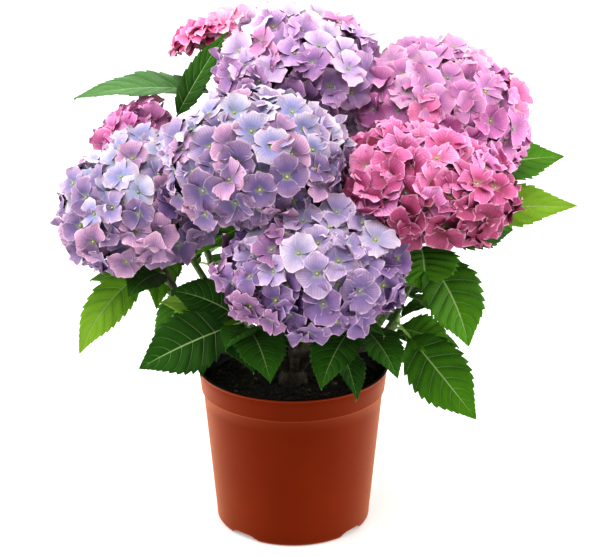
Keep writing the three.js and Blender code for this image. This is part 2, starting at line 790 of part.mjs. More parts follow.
// A head is one closed surface round its middle. Each floret has a low eye, four high petal tips
// and a notch between petals, and the surface falls into a dimple where three florets meet.
function headSolid(name) {
  const head = HEADS[name];
  const { centre, across, foot } = headFrame(head);
  const blockers = (head.yields ?? []).map((blocker) => HEADS[blocker]);
  const chance = seeded(HEAD_SEED);
  const directions = [];
  const add = (direction, reach) => {
    directions.push(direction.clone().normalize());
    directions.at(-1).reach = reach;
  };
  const eyes = floretPlaces(FLORETS);
  for (const eye of eyes) {
    const middle = fromDome(head, eye);
    const { across: one, other: two } = frameOn(domeNormal(head, eye), mix([[1, across], [0.3, UP]]));
    const spin = chance(0, Math.PI / 2);
    add(eye, FLORET_EYE);
    for (let i = 0; i < 2 * PETALS; i++) {
      const turn = spin + (Math.PI * i) / PETALS;
      const tip = i % 2 === 0;
      const length = FLORET_RADIUS * (head.wide / FLORET_HEAD) * (tip ? 1 : NOTCH_SHARE);
      const edge = mix([[1, middle], [length * Math.cos(turn), one], [length * Math.sin(turn), two]]);
      add(inDome(head, edge), tip ? 1 : FLORET_NOTCH);
    }
  }
  const bottom = new THREE.Vector3(0, 0, -1);
  for (const corners of hullFaces([...eyes, bottom])) {
    if (corners.includes(bottom)) continue;
    add(mix(corners.map((corner) => [1, corner])), DIMPLE);
  }
  add(bottom, CORE);
  const index = new Map(directions.map((direction, i) => [direction, i]));
  const places = directions.flatMap((direction) =>
    fromDome(head, direction.clone().multiplyScalar(direction.reach)).toArray(),
  );
  const dome = solidOf(
    new THREE.BufferGeometry()
      .setAttribute("position", new THREE.Float32BufferAttribute(places, 3))
      .setIndex(hullFaces(directions).flatMap((corners) => corners.map((corner) => index.get(corner)))),
  );
  const stalk = straightLimb(foot, centre, STALK_RADIUS, STALK_RADIUS + 1);
  const whole = blockers.reduce(
    (rest, blocker) => rest.subtract(domeSolid(blocker, ENVELOPE)),
    dome.add(stalk),
  );
  return wholeBody(whole);
}

// Assembly

const plant = new THREE.Group();

function place(name, solid, colour, roughness) {
  const mesh = new THREE.Mesh(geometryOf(solid), paint(colour, roughness));
  mesh.name = name;
  plant.add(mesh);
}

place("pot", potSolid(), "pot", 0.45);
place("root_ball", rootBallSolid(), "soil", 0.95);
place("crown_base", crownSolid(), "bark", 0.9);
for (const name of Object.keys(CANES)) place(`cane_${name}`, caneSolid(name), "bark", 0.85);
for (const name of Object.keys(SHOOTS)) place(`leafy_shoot_${name}`, shootSolid(name), "leaf", 0.5);
for (const name of Object.keys(HEADS)) {
  place(`flower_head_${name}`, headSolid(name), HEAD_COLOURS[name], 0.7);
}

export default plant;
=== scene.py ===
# %% [markdown]
# This lesson dresses a potted mophead hydrangea. The solids of the part give where everything is, so
# the first step is to load them as a frame that never moves. The finished plant has to stay as big
# as they are.

# %% Load the frame
import itertools
import math

import bmesh
import bpy
import numpy as np
from mathutils import Matrix, Vector, noise


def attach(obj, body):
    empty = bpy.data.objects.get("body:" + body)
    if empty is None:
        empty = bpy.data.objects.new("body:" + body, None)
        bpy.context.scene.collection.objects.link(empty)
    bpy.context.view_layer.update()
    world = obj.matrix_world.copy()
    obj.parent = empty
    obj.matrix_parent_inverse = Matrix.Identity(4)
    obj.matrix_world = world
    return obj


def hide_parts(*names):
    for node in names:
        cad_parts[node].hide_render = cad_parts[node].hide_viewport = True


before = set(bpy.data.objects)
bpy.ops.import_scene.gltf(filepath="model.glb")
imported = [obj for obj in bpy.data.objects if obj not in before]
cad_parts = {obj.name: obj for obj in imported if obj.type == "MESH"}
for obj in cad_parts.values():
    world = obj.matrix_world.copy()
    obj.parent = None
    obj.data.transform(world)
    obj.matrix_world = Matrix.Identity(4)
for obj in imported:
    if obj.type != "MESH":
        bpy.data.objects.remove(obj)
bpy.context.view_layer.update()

MM = 0.001
scene = bpy.context.scene

# %% [markdown]
# A real hydrangea is raised by a few habits that repeat: canes fork into shoots, a shoot bears pairs
# of leaves and ends in a flower head. The sizes here are the plant's own, in millimetres, and are the
# same as those of the solids. Every mesh is drawn in millimetres and made metres at the end.

# %% Sizes of the pot and the wood
POT_HEIGHT, RIM_RADIUS, BASE_RADIUS, WALL = 167, 96, 78, 1.8
RIM_BAND, RIM_STEP, STEP_HEIGHT = 24, 1.8, 2
LIP, LIP_HEIGHT, BASE_CORNER = 1, 3, 4.5
FOOT_COUNT, FOOT_GAP, FOOT_GAP_HEIGHT, FOOT_RING, FIRST_GAP_BEARING = 4, 32, 6, 56, -40
GROUND, SOIL_EDGE_DROP, CLEAR = 147, 2.5, 0.3

CROWN_RADIUS, CROWN_HEIGHT, CROWN_STUB = 15, 14, 26
CANE_RADIUS, CANE_TIP_RADIUS, CANE_SPREAD, FORK_STUB = 5, 4.2, 0.01, 17
SHOOT_RADIUS, SHOOT_TIP_RADIUS, SHOOT_BULGE, SIDE_SHOOT_RISE = 3.4, 2.8, 0.25, 0.8
STALK_RADIUS, STALK_BELOW_CORE, STALK_RISE = 3.4, 15, 1.2
print("the pot, in mm:", 2 * RIM_RADIUS, "across and", POT_HEIGHT, "high")

# %% Sizes of the leaves and the seeded rule that sets them
LEAF_LENGTH, LEAF_WIDTH_SHARE, PETIOLE_SHARE, PETIOLE_RADIUS = 118, 0.4, 0.17, 1.6
LEAF_FOLD, BLADE_FOOT_POWER, BLADE_TIP_POWER, BLADE_CHECKS = 12, 0.62, 0.92, 9
ROW_TURN, PAIR_TURN, LEAF_TURN, LEAF_PITCH = 73, 90, (-12, 12), (-32, 4)
LEAF_LENGTHS, LEAF_DROOP, LEAF_ROLL = (0.78, 1.05), (35, 60), (-25, 25)
YOUNG_LENGTHS, YOUNG_PITCH, YOUNG_TURN, YOUNG_SEED = (0.5, 0.8), (-24, 22), 40, 20000
LEAF_TRIES, LEAF_TRY_TURN, LEAF_SPREAD = 6, 25, 172
LEAF_MARGIN, POT_MARGIN, HEAD_MARGIN, STEM_CHECKS = 9, 7, 1.1, 20
print("a grown leaf, in mm:", LEAF_LENGTH, "long and", round(LEAF_LENGTH * LEAF_WIDTH_SHARE), "wide")

# %% Sizes of the flower heads
FLORET_RADIUS, FLORET_HEAD = 19, 84
HEAD_DEPTH_SHARE, UNDERSIDE_SHARE, LOWEST_FLORET, CORE = 0.88, 0.6, 116, 0.74
print("a floret, in mm:", 2 * FLORET_RADIUS, "across")

# %% [markdown]
# Directions and curves come next. A limb is drawn as a Bezier curve, which is the simplest curve with
# a direction at each end. Chance comes from a short rule of its own and not from a library, so that the
# leaves here fall exactly where the leaves of the solids fall.

# %% Directions, curves and chance
UP = np.array((0.0, 0.0, 1.0))


def vec(*places):
    return np.array(places, float)


def unit(vector):
    return vector / np.linalg.norm(vector)


def frame_on(axis, hint):
    """Three square directions: the second is as near to the hint as the axis allows."""
    along = unit(axis)
    across = unit(hint - hint.dot(along) * along)
    return along, across, np.cross(along, across)


def seeded(seed):
    state = seed

    def draw(low, high):
        nonlocal state
        state = (state * 1664525 + 1013904223) % 2**32
        return low + (high - low) * state / 2**32

    return draw


def limb_curve(start, leaving, end, arriving):
    """A curve that takes shares of its run, from 0 to 1, and gives places on it."""
    reach = np.linalg.norm(end - start) / 3
    corners = (start, start + leaving * reach, end - arriving * reach, end)

    def at(shares):
        share = np.asarray(shares, float)[..., None]
        rest = 1 - share
        weights = (rest**3, 3 * rest**2 * share, 3 * rest * share**2, share**3)
        return sum(weight * corner for weight, corner in zip(weights, corners))

    return at


print("draws:", [round(seeded(29)(0, 1), 4), round(seeded(30)(0, 1), 4)])

# %% [markdown]
# The forks of the canes and the flower heads were placed against the photograph, and the heads
# that it hides were set where the bush would be bare without them. A head is a flattened dome. It knows
# its own directions, and how far out in the dome a place lies.

# %% Forks of the canes
CANES = {
    "front": (10, -44, 200),
    "left": (-72, -22, 190),
    "right": (70, -22, 192),
    "middle": (0, 38, 238),
    "rear": (52, 68, 202),
    "rear_left": (-70, 54, 200),
}
print("canes:", len(CANES))


# %% What a flower head knows
class Head:
    """A flower head: half its width, its height above its widest ring, the way it faces and the
    heads that it yields to, where they meet."""

    def __init__(self, cane, at, wide, high, faces, yields=()):
        self.cane, self.centre, self.wide, self.high = cane, vec(*at), wide, high
        self.yields = yields
        self.axis, self.across, self.other = frame_on(vec(*faces), vec(1, 0, 0))
        self.stalk = unit(self.axis + STALK_RISE * UP)
        drop = CORE * UNDERSIDE_SHARE * high + STALK_BELOW_CORE
        self.foot = self.centre - drop * self.stalk
        self.sizes = vec(wide, wide * HEAD_DEPTH_SHARE, high)

    def reach(self, places):
        """How far out places lie: 1 on the surface of the dome."""
        offset = places - self.centre
        local = np.stack([offset @ self.across, offset @ self.other, offset @ self.axis], -1)
        local = local / self.sizes
        low = np.where(local[..., 2] > 0, 1, 1 / UNDERSIDE_SHARE)
        local[..., 2] *= low
        return np.linalg.norm(local, axis=-1)

    def _tall(self, local):
        return self.high * (1 if local[2] > 0 else UNDERSIDE_SHARE)

    def place(self, local):
        level = local[0] * self.across + local[1] * HEAD_DEPTH_SHARE * self.other
        return self.centre + self.wide * level + self._tall(local) * local[2] * self.axis

    def normal(self, local):
        level = local[0] * self.across + local[1] / HEAD_DEPTH_SHARE * self.other
        return unit(level / self.wide + local[2] / self._tall(local) * self.axis)


# %% The flower heads
HEADS = {
    "low_violet": Head("front", (22, -147, 319), 80, 55, (0.02, -0.4, 0.91)),
    "front_blue": Head("front", (-33, -98, 404), 85, 57, (-0.1, -0.42, 0.9), ("low_violet",)),
    "left_blue": Head(
        "left", (-142, -25, 341), 86, 61, (-0.3, -0.42, 0.86), ("front_blue", "low_violet")
    ),
    "right_pink": Head(
        "right", (122, -95, 379), 81, 47, (0.14, -0.25, 0.95), ("low_violet", "front_blue")
    ),
    "right_lilac": Head("right", (147, 40, 413), 90, 66, (0.32, -0.22, 0.92), ("right_pink",)),
    "top_lilac": Head(
        "middle", (8, 50, 451), 83, 62, (0.02, -0.2, 0.98), ("front_blue", "right_lilac", "right_pink")
    ),
    "left_magenta": Head("rear_left", (-160, 84, 381), 36, 28, (-0.6, 0.2, 0.77), ("left_blue",)),
    "back_coral": Head(
        "middle", (-66, 136, 466), 59, 21, (-0.2, 0.36, 0.91), ("top_lilac", "left_magenta")
    ),
    "rear_lilac": Head("rear", (26, 172, 370), 78, 56, (0.1, 0.5, 0.86), ("top_lilac", "back_coral")),
    "rear_pink": Head("rear", (160, 158, 338), 76, 54, (0.45, 0.4, 0.8), ("right_lilac", "rear_lilac")),
    "rear_blue": Head(
        "rear_left", (-112, 158, 318), 78, 54, (-0.45, 0.45, 0.77),
        ("left_magenta", "rear_lilac", "left_blue", "back_coral"),
    ),
    "rear_violet": Head(
        "rear", (48, 208, 260), 74, 48, (0.1, 0.6, 0.8), ("rear_lilac", "rear_pink", "rear_blue")
    ),
}
print("heads:", len(HEADS))

# %% [markdown]
# Each shoot leaves its cane's fork and ends under its head or, where it bears none, in its top pair of
# leaves. The canes spring nearly upright from one woody crown.

# %% Curves of the shoots and canes
SIDE_SHOOTS = {
    "low_left": ("front", (-0.72, -0.42, 0.5), (-47, -84, 245)),
    "low_right": ("front", (0.7, -0.45, 0.5), (62, -84, 243)),
    "side_right": ("right", (0.5, -0.74, 0.45), (100, -72, 240)),
    "side_rear_right": ("right", (0.8, 0.5, 0.35), (122, 34, 244)),
    "side_left": ("left", (-0.75, 0.5, 0.4), (-126, 26, 236)),
    "low_rear": ("rear", (-0.1, 0.9, 0.42), (30, 138, 224)),
    "low_rear_left": ("rear_left", (0.3, 0.86, 0.38), (-46, 124, 226)),
}
CROWN_TOP = vec(0, 0, GROUND + CLEAR)
CANE_ROOT = CROWN_TOP + (CANE_RADIUS + 1) * UP


def shoot_curves():
    curves = {}
    for name, head in HEADS.items():
        fork, end = vec(*CANES[head.cane]), head.foot - CLEAR * head.stalk
        leaving = unit(unit(end - fork) - SHOOT_BULGE * head.stalk)
        start = fork + leaving * (FORK_STUB + CLEAR)
        curves[name] = (head.cane, leaving, limb_curve(start, leaving, end, head.stalk))
    for name, (cane, leaves, to) in SIDE_SHOOTS.items():
        leaving = unit(vec(*leaves))
        start = vec(*CANES[cane]) + leaving * (FORK_STUB + CLEAR)
        arriving = unit(leaving + SIDE_SHOOT_RISE * UP)
        curves[name] = (cane, leaving, limb_curve(start, leaving, vec(*to), arriving))
    return curves


def cane_leaving(name):
    return unit(CANE_SPREAD * vec(*CANES[name][:2], 0) + UP)


def cane_curve(name, stub=CROWN_STUB + CLEAR):
    fork, leaving = vec(*CANES[name]), cane_leaving(name)
    start = CANE_ROOT + leaving * stub
    return limb_curve(start, leaving, fork, unit(fork - start))


SHOOTS = shoot_curves()
print("shoots:", len(SHOOTS))

# %% [markdown]
# A leaf bends down along an arc from the stem to its tip, rolls a little to one side, and folds up from
# its midrib. The leaves that show in the photograph have their tips given one by one. The rest are set in
# pairs by the seeded rule, and a leaf that would touch a stem, a head, the pot or another leaf is tried
# again further round, and at last left out. Places on a leaf are worked out for whole arrays at once.


# %% A leaf's arc and outline
ROLL_RUN = 0.12


class Leaf:
    """A leaf from its base to its tip. Its number seeds its waves, and its tint if it has none yet."""

    def __init__(self, shoot, base, tip, width, droop, roll, number, tint=None, petiole=PETIOLE_SHARE):
        self.shoot, self.base, self.width, self.number, self.tint = shoot, base, width, number, tint
        self.petiole, self.roll = petiole, math.radians(roll)
        chord = vec(*tip) - base
        level = math.hypot(chord[0], chord[1])
        self.pitch, self.half = math.atan2(chord[2], level), math.radians(droop) / 2
        self.heading = vec(chord[0] / level, chord[1] / level, 0)
        self.side = vec(-self.heading[1], self.heading[0], 0)
        self.length = np.linalg.norm(chord)
        self.radius = self.length / (2 * math.sin(self.half))

    def arc(self, share):
        """Places on the midrib, from the stem at 0 to the tip at 1."""
        turn = self.half * np.asarray(share, float)[..., None]
        ahead, slope = 2 * self.radius * np.sin(turn), self.pitch + self.half - turn
        return self.base + ahead * (np.cos(slope) * self.heading + np.sin(slope) * UP)

    def square(self, share, roll):
        """The blade's sideways and upward directions at shares of the arc."""
        slope = self.pitch + self.half - 2 * self.half * np.asarray(share, float)[..., None]
        way = np.cos(slope) * self.heading + np.sin(slope) * UP
        roll = np.asarray(roll, float)[..., None]
        side = np.cos(roll) * self.side + np.sin(roll) * np.cross(way, self.side)
        return side, np.cross(way, side)

    def eased_roll(self, blade):
        """The roll at shares of the blade: the foot of the blade has only half of it."""
        return self.roll * (0.5 + 0.5 * np.minimum(1, blade / ROLL_RUN))


WIDEST = BLADE_FOOT_POWER / (BLADE_FOOT_POWER + BLADE_TIP_POWER)


def blade_shape(share):
    """The half width along a blade, as a share of the widest."""
    share = np.clip(share, 0, 1)
    swell = share**BLADE_FOOT_POWER * (1 - share) ** BLADE_TIP_POWER
    return swell / (WIDEST**BLADE_FOOT_POWER * (1 - WIDEST) ** BLADE_TIP_POWER)


print("a blade is widest at", round(WIDEST, 2), "of its length")

# %% [markdown]
# A listed leaf needs only its place along the shoot, its tip, width, droop and roll, its tint and, where
# its stalk is long, the stalk's share of it. A pair that the seed sets needs only its place.

# %% The listed leaves
FRONT_LEAVES = {
    "low_left": [
        (0.96, (-144, -118, 209), 58, 14, -55, "dark"),
        (0.96, (-20, -150, 209), 50, 50, 0, "deep"),
        (0.86, (-117, -66, 268), 41, 40, -50, "dark"),
        (0.7, (-62, -134, 236), 34, 50, 0, "deep"),
        (0.6, (-130, -30, 243), 42, 40, -30, "lime"),
    ],
    "low_right": [(0.96, (26, -146, 200), 47, 50, 0, "deep"), (0.96, (97, -148, 212), 42, 50, 0, "deep")],
    "side_right": [(0.97, (174, -118, 157), 57, 4, 58, "mid"), (0.8, (152, -78, 212), 39, 35, 40, "bright")],
    "front_blue": [(0.2, (-54, -44, 248), 38, 30, 20, "dark")],
    "right_pink": [
        (0.9, (123, -110, 284), 64, 54, 0, "mid"),
        (0.84, (164, -122, 233), 59, 40, 30, "mid"),
        (0.93, (211, -44, 322), 52, 14, 42, "deep"),
    ],
    "right_lilac": [(0.7, (277, -8, 335), 50, 2, 52, "lime"), (0.88, (282, 118, 350), 56, 12, 42, "mid")],
    "left_blue": [
        (0.8, (-207, -62, 201), 39, 50, -60, "lime"),
        (0.68, (-155, -88, 270), 36, 40, -20, "deep"),
        (0.55, (-203, 6, 253), 34, 40, -20, "mid"),
    ],
    "side_left": [(0.97, (-186, 70, 228), 42, 40, 0, "mid"), (0.97, (-150, 104, 230), 44, 40, 0, "deep")],
    "side_rear_right": [
        (0.97, (176, 98, 240), 41, 40, 0, "mid"),
        (0.97, (168, -2, 250), 37, 30, 20, "mid"),
        (0.6, (150, 118, 214), 44, 40, 0, "deep"),
    ],
    "back_coral": [(0.85, (-222, 92, 418), 51, 30, -14, "sage"), (0.93, (-40, 232, 408), 46, 50, 0, "mid")],
    "left_magenta": [
        (0.9, (-65, 67, 491), 29, 12, 66, "deep", 0.42),
        (0.9, (-214, 96, 318), 44, 40, -20, "mid"),
    ],
}
print("leaves set by hand:", sum(map(len, FRONT_LEAVES.values())))

# %% Where the seeded pairs go
LEAF_PAIRS = {
    "low_violet": (), "front_blue": (0.8,), "left_blue": (0.34,), "right_pink": (0.3,),
    "right_lilac": (0.45,), "top_lilac": (0.3, 0.52, 0.74), "left_magenta": (0.5,),
    "back_coral": (0.4, 0.66), "rear_lilac": (0.4, 0.65, 0.9), "rear_pink": (0.3, 0.55, 0.8),
    "rear_blue": (0.3, 0.55, 0.8), "rear_violet": (0.35, 0.6, 0.85), "side_right": (0.5,),
    "low_rear": (0.4, 0.7, 0.97), "low_rear_left": (0.4, 0.7, 0.97),
}
YOUNG_PAIRS = {
    "right_pink": (0.14, 0.46, 0.76), "right_lilac": (0.24, 0.64), "side_right": (0.3, 0.97),
    "side_rear_right": (0.3, 0.8), "rear_pink": (0.16, 0.42), "rear_violet": (0.16, 0.48),
    "low_rear": (0.2, 0.55), "rear_lilac": (0.2, 0.52), "low_rear_left": (0.2, 0.55),
    "rear_blue": (0.16, 0.42), "left_magenta": (0.24, 0.75), "side_left": (),
    "left_blue": (0.15, 0.5, 0.78), "back_coral": (0.22, 0.53), "top_lilac": (0.63,),
    "low_violet": (0.3, 0.8), "front_blue": (0.25, 0.63), "low_left": (0.35,), "low_right": (0.4, 0.7),
}
print("pairs to try:", sum(map(len, [*LEAF_PAIRS.values(), *YOUNG_PAIRS.values()])))


# %% Try a leaf of the seed's choice
def blade_points(leaf):
    """Places over the blade, for keeping it clear of everything else."""
    parts = (-1, -0.5, 0, 0.5, 1)
    share = np.repeat(np.arange(1, BLADE_CHECKS + 1) / BLADE_CHECKS, len(parts))
    part = np.tile(parts, BLADE_CHECKS)
    blade = np.maximum(0, (share - leaf.petiole) / (1 - leaf.petiole))
    side, _ = leaf.square(share, np.full(share.shape, leaf.roll))
    half = leaf.width / 2 * blade_shape(blade)
    return leaf.arc(share) + side * (half * part)[:, None]


def nearest(places, others):
    return np.linalg.norm(places[:, None] - others[None], axis=-1).min()


def seeded_leaf(shoot, share, bearing, seed, stems, taken, lengths, pitches):
    """A leaf of the seed's choice and the places over it, or None where it finds no room."""
    base = SHOOTS[shoot][2](share)
    for attempt in range(LEAF_TRIES):
        chance = seeded(seed + attempt)
        turn = math.radians(bearing + chance(*LEAF_TURN) + LEAF_TRY_TURN * attempt)
        pitch = math.radians(chance(*pitches))
        length = LEAF_LENGTH * chance(*lengths)
        level = length * math.cos(pitch)
        tip = base + vec(level * math.cos(turn), level * math.sin(turn), length * math.sin(pitch))
        width, droop, roll = length * LEAF_WIDTH_SHARE, chance(*LEAF_DROOP), chance(*LEAF_ROLL)
        leaf = Leaf(shoot, base, tip, width, droop, roll, seed + 1)
        places = blade_points(leaf)
        low = places[places[:, 2] < POT_HEIGHT + POT_MARGIN]
        if not (
            abs(places[:, 0]).max() > LEAF_SPREAD
            or (np.hypot(low[:, 0], low[:, 1]) < RIM_RADIUS + POT_MARGIN).any()
            or any((head.reach(places) < HEAD_MARGIN).any() for head in HEADS.values())
            or any(nearest(places, stem) < LEAF_MARGIN for own, stem in stems if own != shoot)
            or any(nearest(places, other) < LEAF_MARGIN for other in taken)
        ):
            return leaf, places
    return None


# %% Set all the leaves
SHOOT_SEEDS, PAIR_SEEDS, SIDE_SEEDS = 1000, 100, 50  # how far apart the seeds of neighbours are


def set_leaves():
    leaves = []
    for shoot, rows in FRONT_LEAVES.items():
        for number, (share, *row) in enumerate(rows):
            leaves.append(Leaf(shoot, SHOOTS[shoot][2](share), *row[:4], -1 - number, *row[4:]))
    shares = np.linspace(0, 1, STEM_CHECKS + 1)
    stems = [(shoot, curve(shares)) for shoot, (_, _, curve) in SHOOTS.items()]
    stems += [("", cane_curve(name)(shares)) for name in CANES]
    taken = [blade_points(leaf) for leaf in leaves]
    grown = (LEAF_PAIRS, 0, 0, LEAF_LENGTHS, LEAF_PITCH)
    young = (YOUNG_PAIRS, YOUNG_TURN, YOUNG_SEED, YOUNG_LENGTHS, YOUNG_PITCH)
    for pairs, first_turn, first_seed, lengths, pitches in (grown, young):
        for row, (shoot, places) in enumerate(pairs.items()):
            for (pair, share), side in itertools.product(enumerate(places), (0, 1)):
                bearing = first_turn + ROW_TURN * row + PAIR_TURN * pair + 180 * side
                seed = first_seed + SHOOT_SEEDS * row + PAIR_SEEDS * pair + SIDE_SEEDS * side
                found = seeded_leaf(shoot, share, bearing, seed, stems, taken, lengths, pitches)
                if found:
                    leaves.append(found[0])
                    taken.append(found[1])
    return leaves


LEAVES = set_leaves()
print("leaves:", len(LEAVES))

# %% [markdown]
# Finishes are built from shader nodes. Wiring them one by one hides what they work out, so a small
# class lets arithmetic on a socket read as arithmetic. Patterns follow each surface's own map: it is
# split into cells, one for each tint, so that every sepal or leaf of a tint shows the same pattern.

# %% The wire class
CHART = "OFBake"
CELL_PAD = 0.03


def math_node(operation, swapped=False):
    """A method that puts a wire through a Math node, as the second number where it is swapped."""

    def method(self, other=0.0):
        first, second = (other, self) if swapped else (self, other)
        return self.node("ShaderNodeMath", {"operation": operation}, {0: first, 1: second})

    return method


class Wire:
    """One socket of a finish's nodes. Arithmetic on it adds Math nodes."""

    def __init__(self, tree, socket=None):
        self.tree, self.socket = tree, socket

    def node(self, kind, settings=None, inputs=None, output=0):
        """Adds a node, with its settings first, and gives one of its outputs."""
        made = self.tree.nodes.new(kind)
        for key, value in (settings or {}).items():
            setattr(made, key, value)
        for key, value in (inputs or {}).items():
            open_inputs = {s.name: s for s in reversed(made.inputs) if s.enabled}
            socket = made.inputs[key] if isinstance(key, int) else open_inputs[key]
            if isinstance(value, Wire):
                self.tree.links.new(value.socket, socket)
            else:
                socket.default_value = value
        shown = [s for s in made.outputs if s.enabled]
        chosen = shown[output] if isinstance(output, int) else made.outputs[output]
        return Wire(self.tree, chosen)

    __add__ = __radd__ = math_node("ADD")
    __mul__ = __rmul__ = math_node("MULTIPLY")
    __sub__, __rsub__ = math_node("SUBTRACT"), math_node("SUBTRACT", swapped=True)
    __truediv__ = math_node("DIVIDE")
    __mod__ = math_node("FLOORED_MODULO")
    __abs__ = math_node("ABSOLUTE")
    smaller, larger = math_node("MINIMUM"), math_node("MAXIMUM")


# %% Nodes that the finishes share
def on_piece(wire):
    """Places on the piece, in metres, for a pattern with no map."""
    return wire.node("ShaderNodeTexCoord", output="Object")


def rise(wire, low, high):
    """Smoothly 0 to 1 as the wire goes from low to high."""
    settings = {"interpolation_type": "SMOOTHSTEP"}
    return wire.node("ShaderNodeMapRange", settings, {"Value": wire, "From Min": low, "From Max": high})


def blend(share, first, second):
    return share.node("ShaderNodeMix", {"data_type": "RGBA"}, {"Factor": share, "A": first, "B": second})


def grain(wire, vector, scale, detail=2.0, rough=0.5):
    inputs = {"Vector": vector, "Scale": scale, "Detail": detail, "Roughness": rough}
    return wire.node("ShaderNodeTexNoise", None, inputs)


def stretched(wire, vector, scale):
    return wire.node("ShaderNodeMapping", None, {"Vector": vector, "Scale": scale})


def bump(height, strength, distance):
    inputs = {"Height": height, "Strength": strength, "Distance": distance}
    return height.node("ShaderNodeBump", None, inputs)


def cell_chart(wire, cell, cells):
    """The two shares of a surface, from its own map's cell: along it, and across from -1 to 1."""
    chart = wire.node("ShaderNodeTexCoord", output="UV")
    across, up = (chart.node("ShaderNodeSeparateXYZ", None, {"Vector": chart}, axis) for axis in "XY")
    along = (across * cells - cell - CELL_PAD) / (1 - 2 * CELL_PAD)
    return along, (up - CELL_PAD) / (0.5 - CELL_PAD) - 1


# %% Colours and finishes
def colour(*levels):
    """A screen colour, 0 to 255, as the light values that Blender works with."""
    light = [((x / 255 + 0.055) / 1.055) ** 2.4 if x > 10 else x / 255 / 12.92 for x in levels]
    return (*light, 1.0)


def finish_of(name, paint, given=(), **plain):
    """A material: paint(wire, *given) wires what changes over it, and the rest are plain numbers."""
    material = bpy.data.materials.new(name)
    material.use_nodes = True
    shader = material.node_tree.nodes["Principled BSDF"]
    for key, value in plain.items():
        shader.inputs[key.replace("_", " ")].default_value = value
    for key, wire in paint(Wire(material.node_tree), *given).items():
        material.node_tree.links.new(wire.socket, shader.inputs[key])
    return material


print("middle grey as light:", round(colour(128, 128, 128)[0], 3))

# %% [markdown]
# Nearly everything on a plant is a sheet or a rolled-up sheet: a leaf, a sepal, a stem. So one helper
# makes a flat grid and lays its points where a formula says, and another rolls a grid round a curve.
# Finished meshes become pieces that ride on the part's one body.


# %% Lay a grid
def lay_grid(bm, columns, rows, place, chart=None, cell=(0, 1), slot=0):
    """Lays a grid by place(across, along), with both from 0 to 1, and maps it by chart() in a cell."""
    verts = bmesh.ops.create_grid(bm, x_segments=columns, y_segments=rows, size=0.5)["verts"]
    shares = np.array([vert.co[:2] for vert in verts]) + 0.5
    spots = chart(*shares.T) if chart else shares[:, ::-1]
    spots = CELL_PAD + (1 - 2 * CELL_PAD) * np.clip(spots, 0, 1)
    spots[:, 0] = (cell[0] + spots[:, 0]) / cell[1]
    spot_of = dict(zip(verts, spots.tolist()))
    for vert, where in zip(verts, place(*shares.T).tolist()):
        vert.co = where
    layer = bm.loops.layers.uv.get(CHART) or bm.loops.layers.uv.new(CHART)
    faces = {face for vert in verts for face in vert.link_faces}
    for face in faces:
        face.material_index = slot
        for loop in face.loops:
            loop[layer].uv = spot_of[loop.vert]
    return verts


# %% Roll a tube
MERGE, FINE_STEP = 1e-3, 1e-3  # points nearer than MERGE are one; FINE_STEP is a share of a curve


def roll_tube(bm, curve, radius, sides, steps, slot=0, span=(0, 1)):
    """Rolls a grid round a curve. The radius is a function of the shares round and along."""
    hint = vec(1, 0.2, 0.1)

    def place(around, along):
        share = span[0] + (span[1] - span[0]) * along
        way = curve(np.minimum(share + FINE_STEP, 1)) - curve(np.maximum(share - FINE_STEP, 0))
        way /= np.linalg.norm(way, axis=1)[:, None]
        across = hint - (way @ hint)[:, None] * way
        across /= np.linalg.norm(across, axis=1)[:, None]
        turn = 2 * np.pi * around[:, None]
        out = np.cos(turn) * across + np.sin(turn) * np.cross(way, across)
        return curve(share) + radius(around, along)[:, None] * out

    verts = lay_grid(bm, sides, steps, place, slot=slot)
    bmesh.ops.remove_doubles(bm, verts=verts, dist=MERGE)


def tapering(start, end):
    return lambda around, along: start + (end - start) * along


def straight(start, end):
    return lambda share: start + np.asarray(share, float)[..., None] * (end - start)


def close_ends(bm):
    """Caps every open ring."""
    rings = [edge for edge in bm.edges if edge.is_boundary]
    bmesh.ops.holes_fill(bm, edges=rings, sides=0)


# %% Spin a profile
def spin_profile(bm, profile, steps):
    """Turns a chain of (distance from the axis, height) once round the axis."""
    chain = [bm.verts.new((radius, 0, height)) for radius, height in profile]
    edges = [bm.edges.new(pair) for pair in zip(chain, chain[1:])]
    bmesh.ops.spin(
        bm, geom=chain + edges, cent=(0, 0, 0), axis=(0, 0, 1), angle=2 * math.pi,
        steps=steps, use_merge=True, use_duplicate=False,
    )
    bmesh.ops.remove_doubles(bm, verts=bm.verts, dist=MERGE)


# %% Add a piece
def add_piece(name, mesh, finishes, replaced=()):
    for finish in finishes:
        mesh.materials.append(finish)
    mesh.shade_smooth()
    piece = bpy.data.objects.new(name, mesh)
    scene.collection.objects.link(piece)
    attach(piece, "root")
    if replaced:
        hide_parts(*replaced)
    triangles = sum(len(face.vertices) - 2 for face in mesh.polygons)
    print(f"{name}: {triangles} triangles")


def piece_from(name, bm, finishes, replaced=()):
    """Makes a drawing in millimetres a piece in metres."""
    bmesh.ops.scale(bm, vec=(MM, MM, MM), verts=bm.verts)
    mesh = bpy.data.meshes.new(name)
    bm.to_mesh(mesh)
    bm.free()
    add_piece(name, mesh, finishes, replaced)


# %% [markdown]
# The camera comes early, so that every later piece can be looked at as soon as it is made. It was
# fitted to the photograph: a long lens, a little above the heads, looking down at the bush.

# %% Camera
CAMERA_TARGET, CAMERA_DISTANCE, CAMERA_ELEVATION = Vector((0.007, 0, 0.257)), 1.7, 19.5
PHOTO_WIDTH, FOCAL_PIXELS, SENSOR_WIDTH = 600, 1712, 36

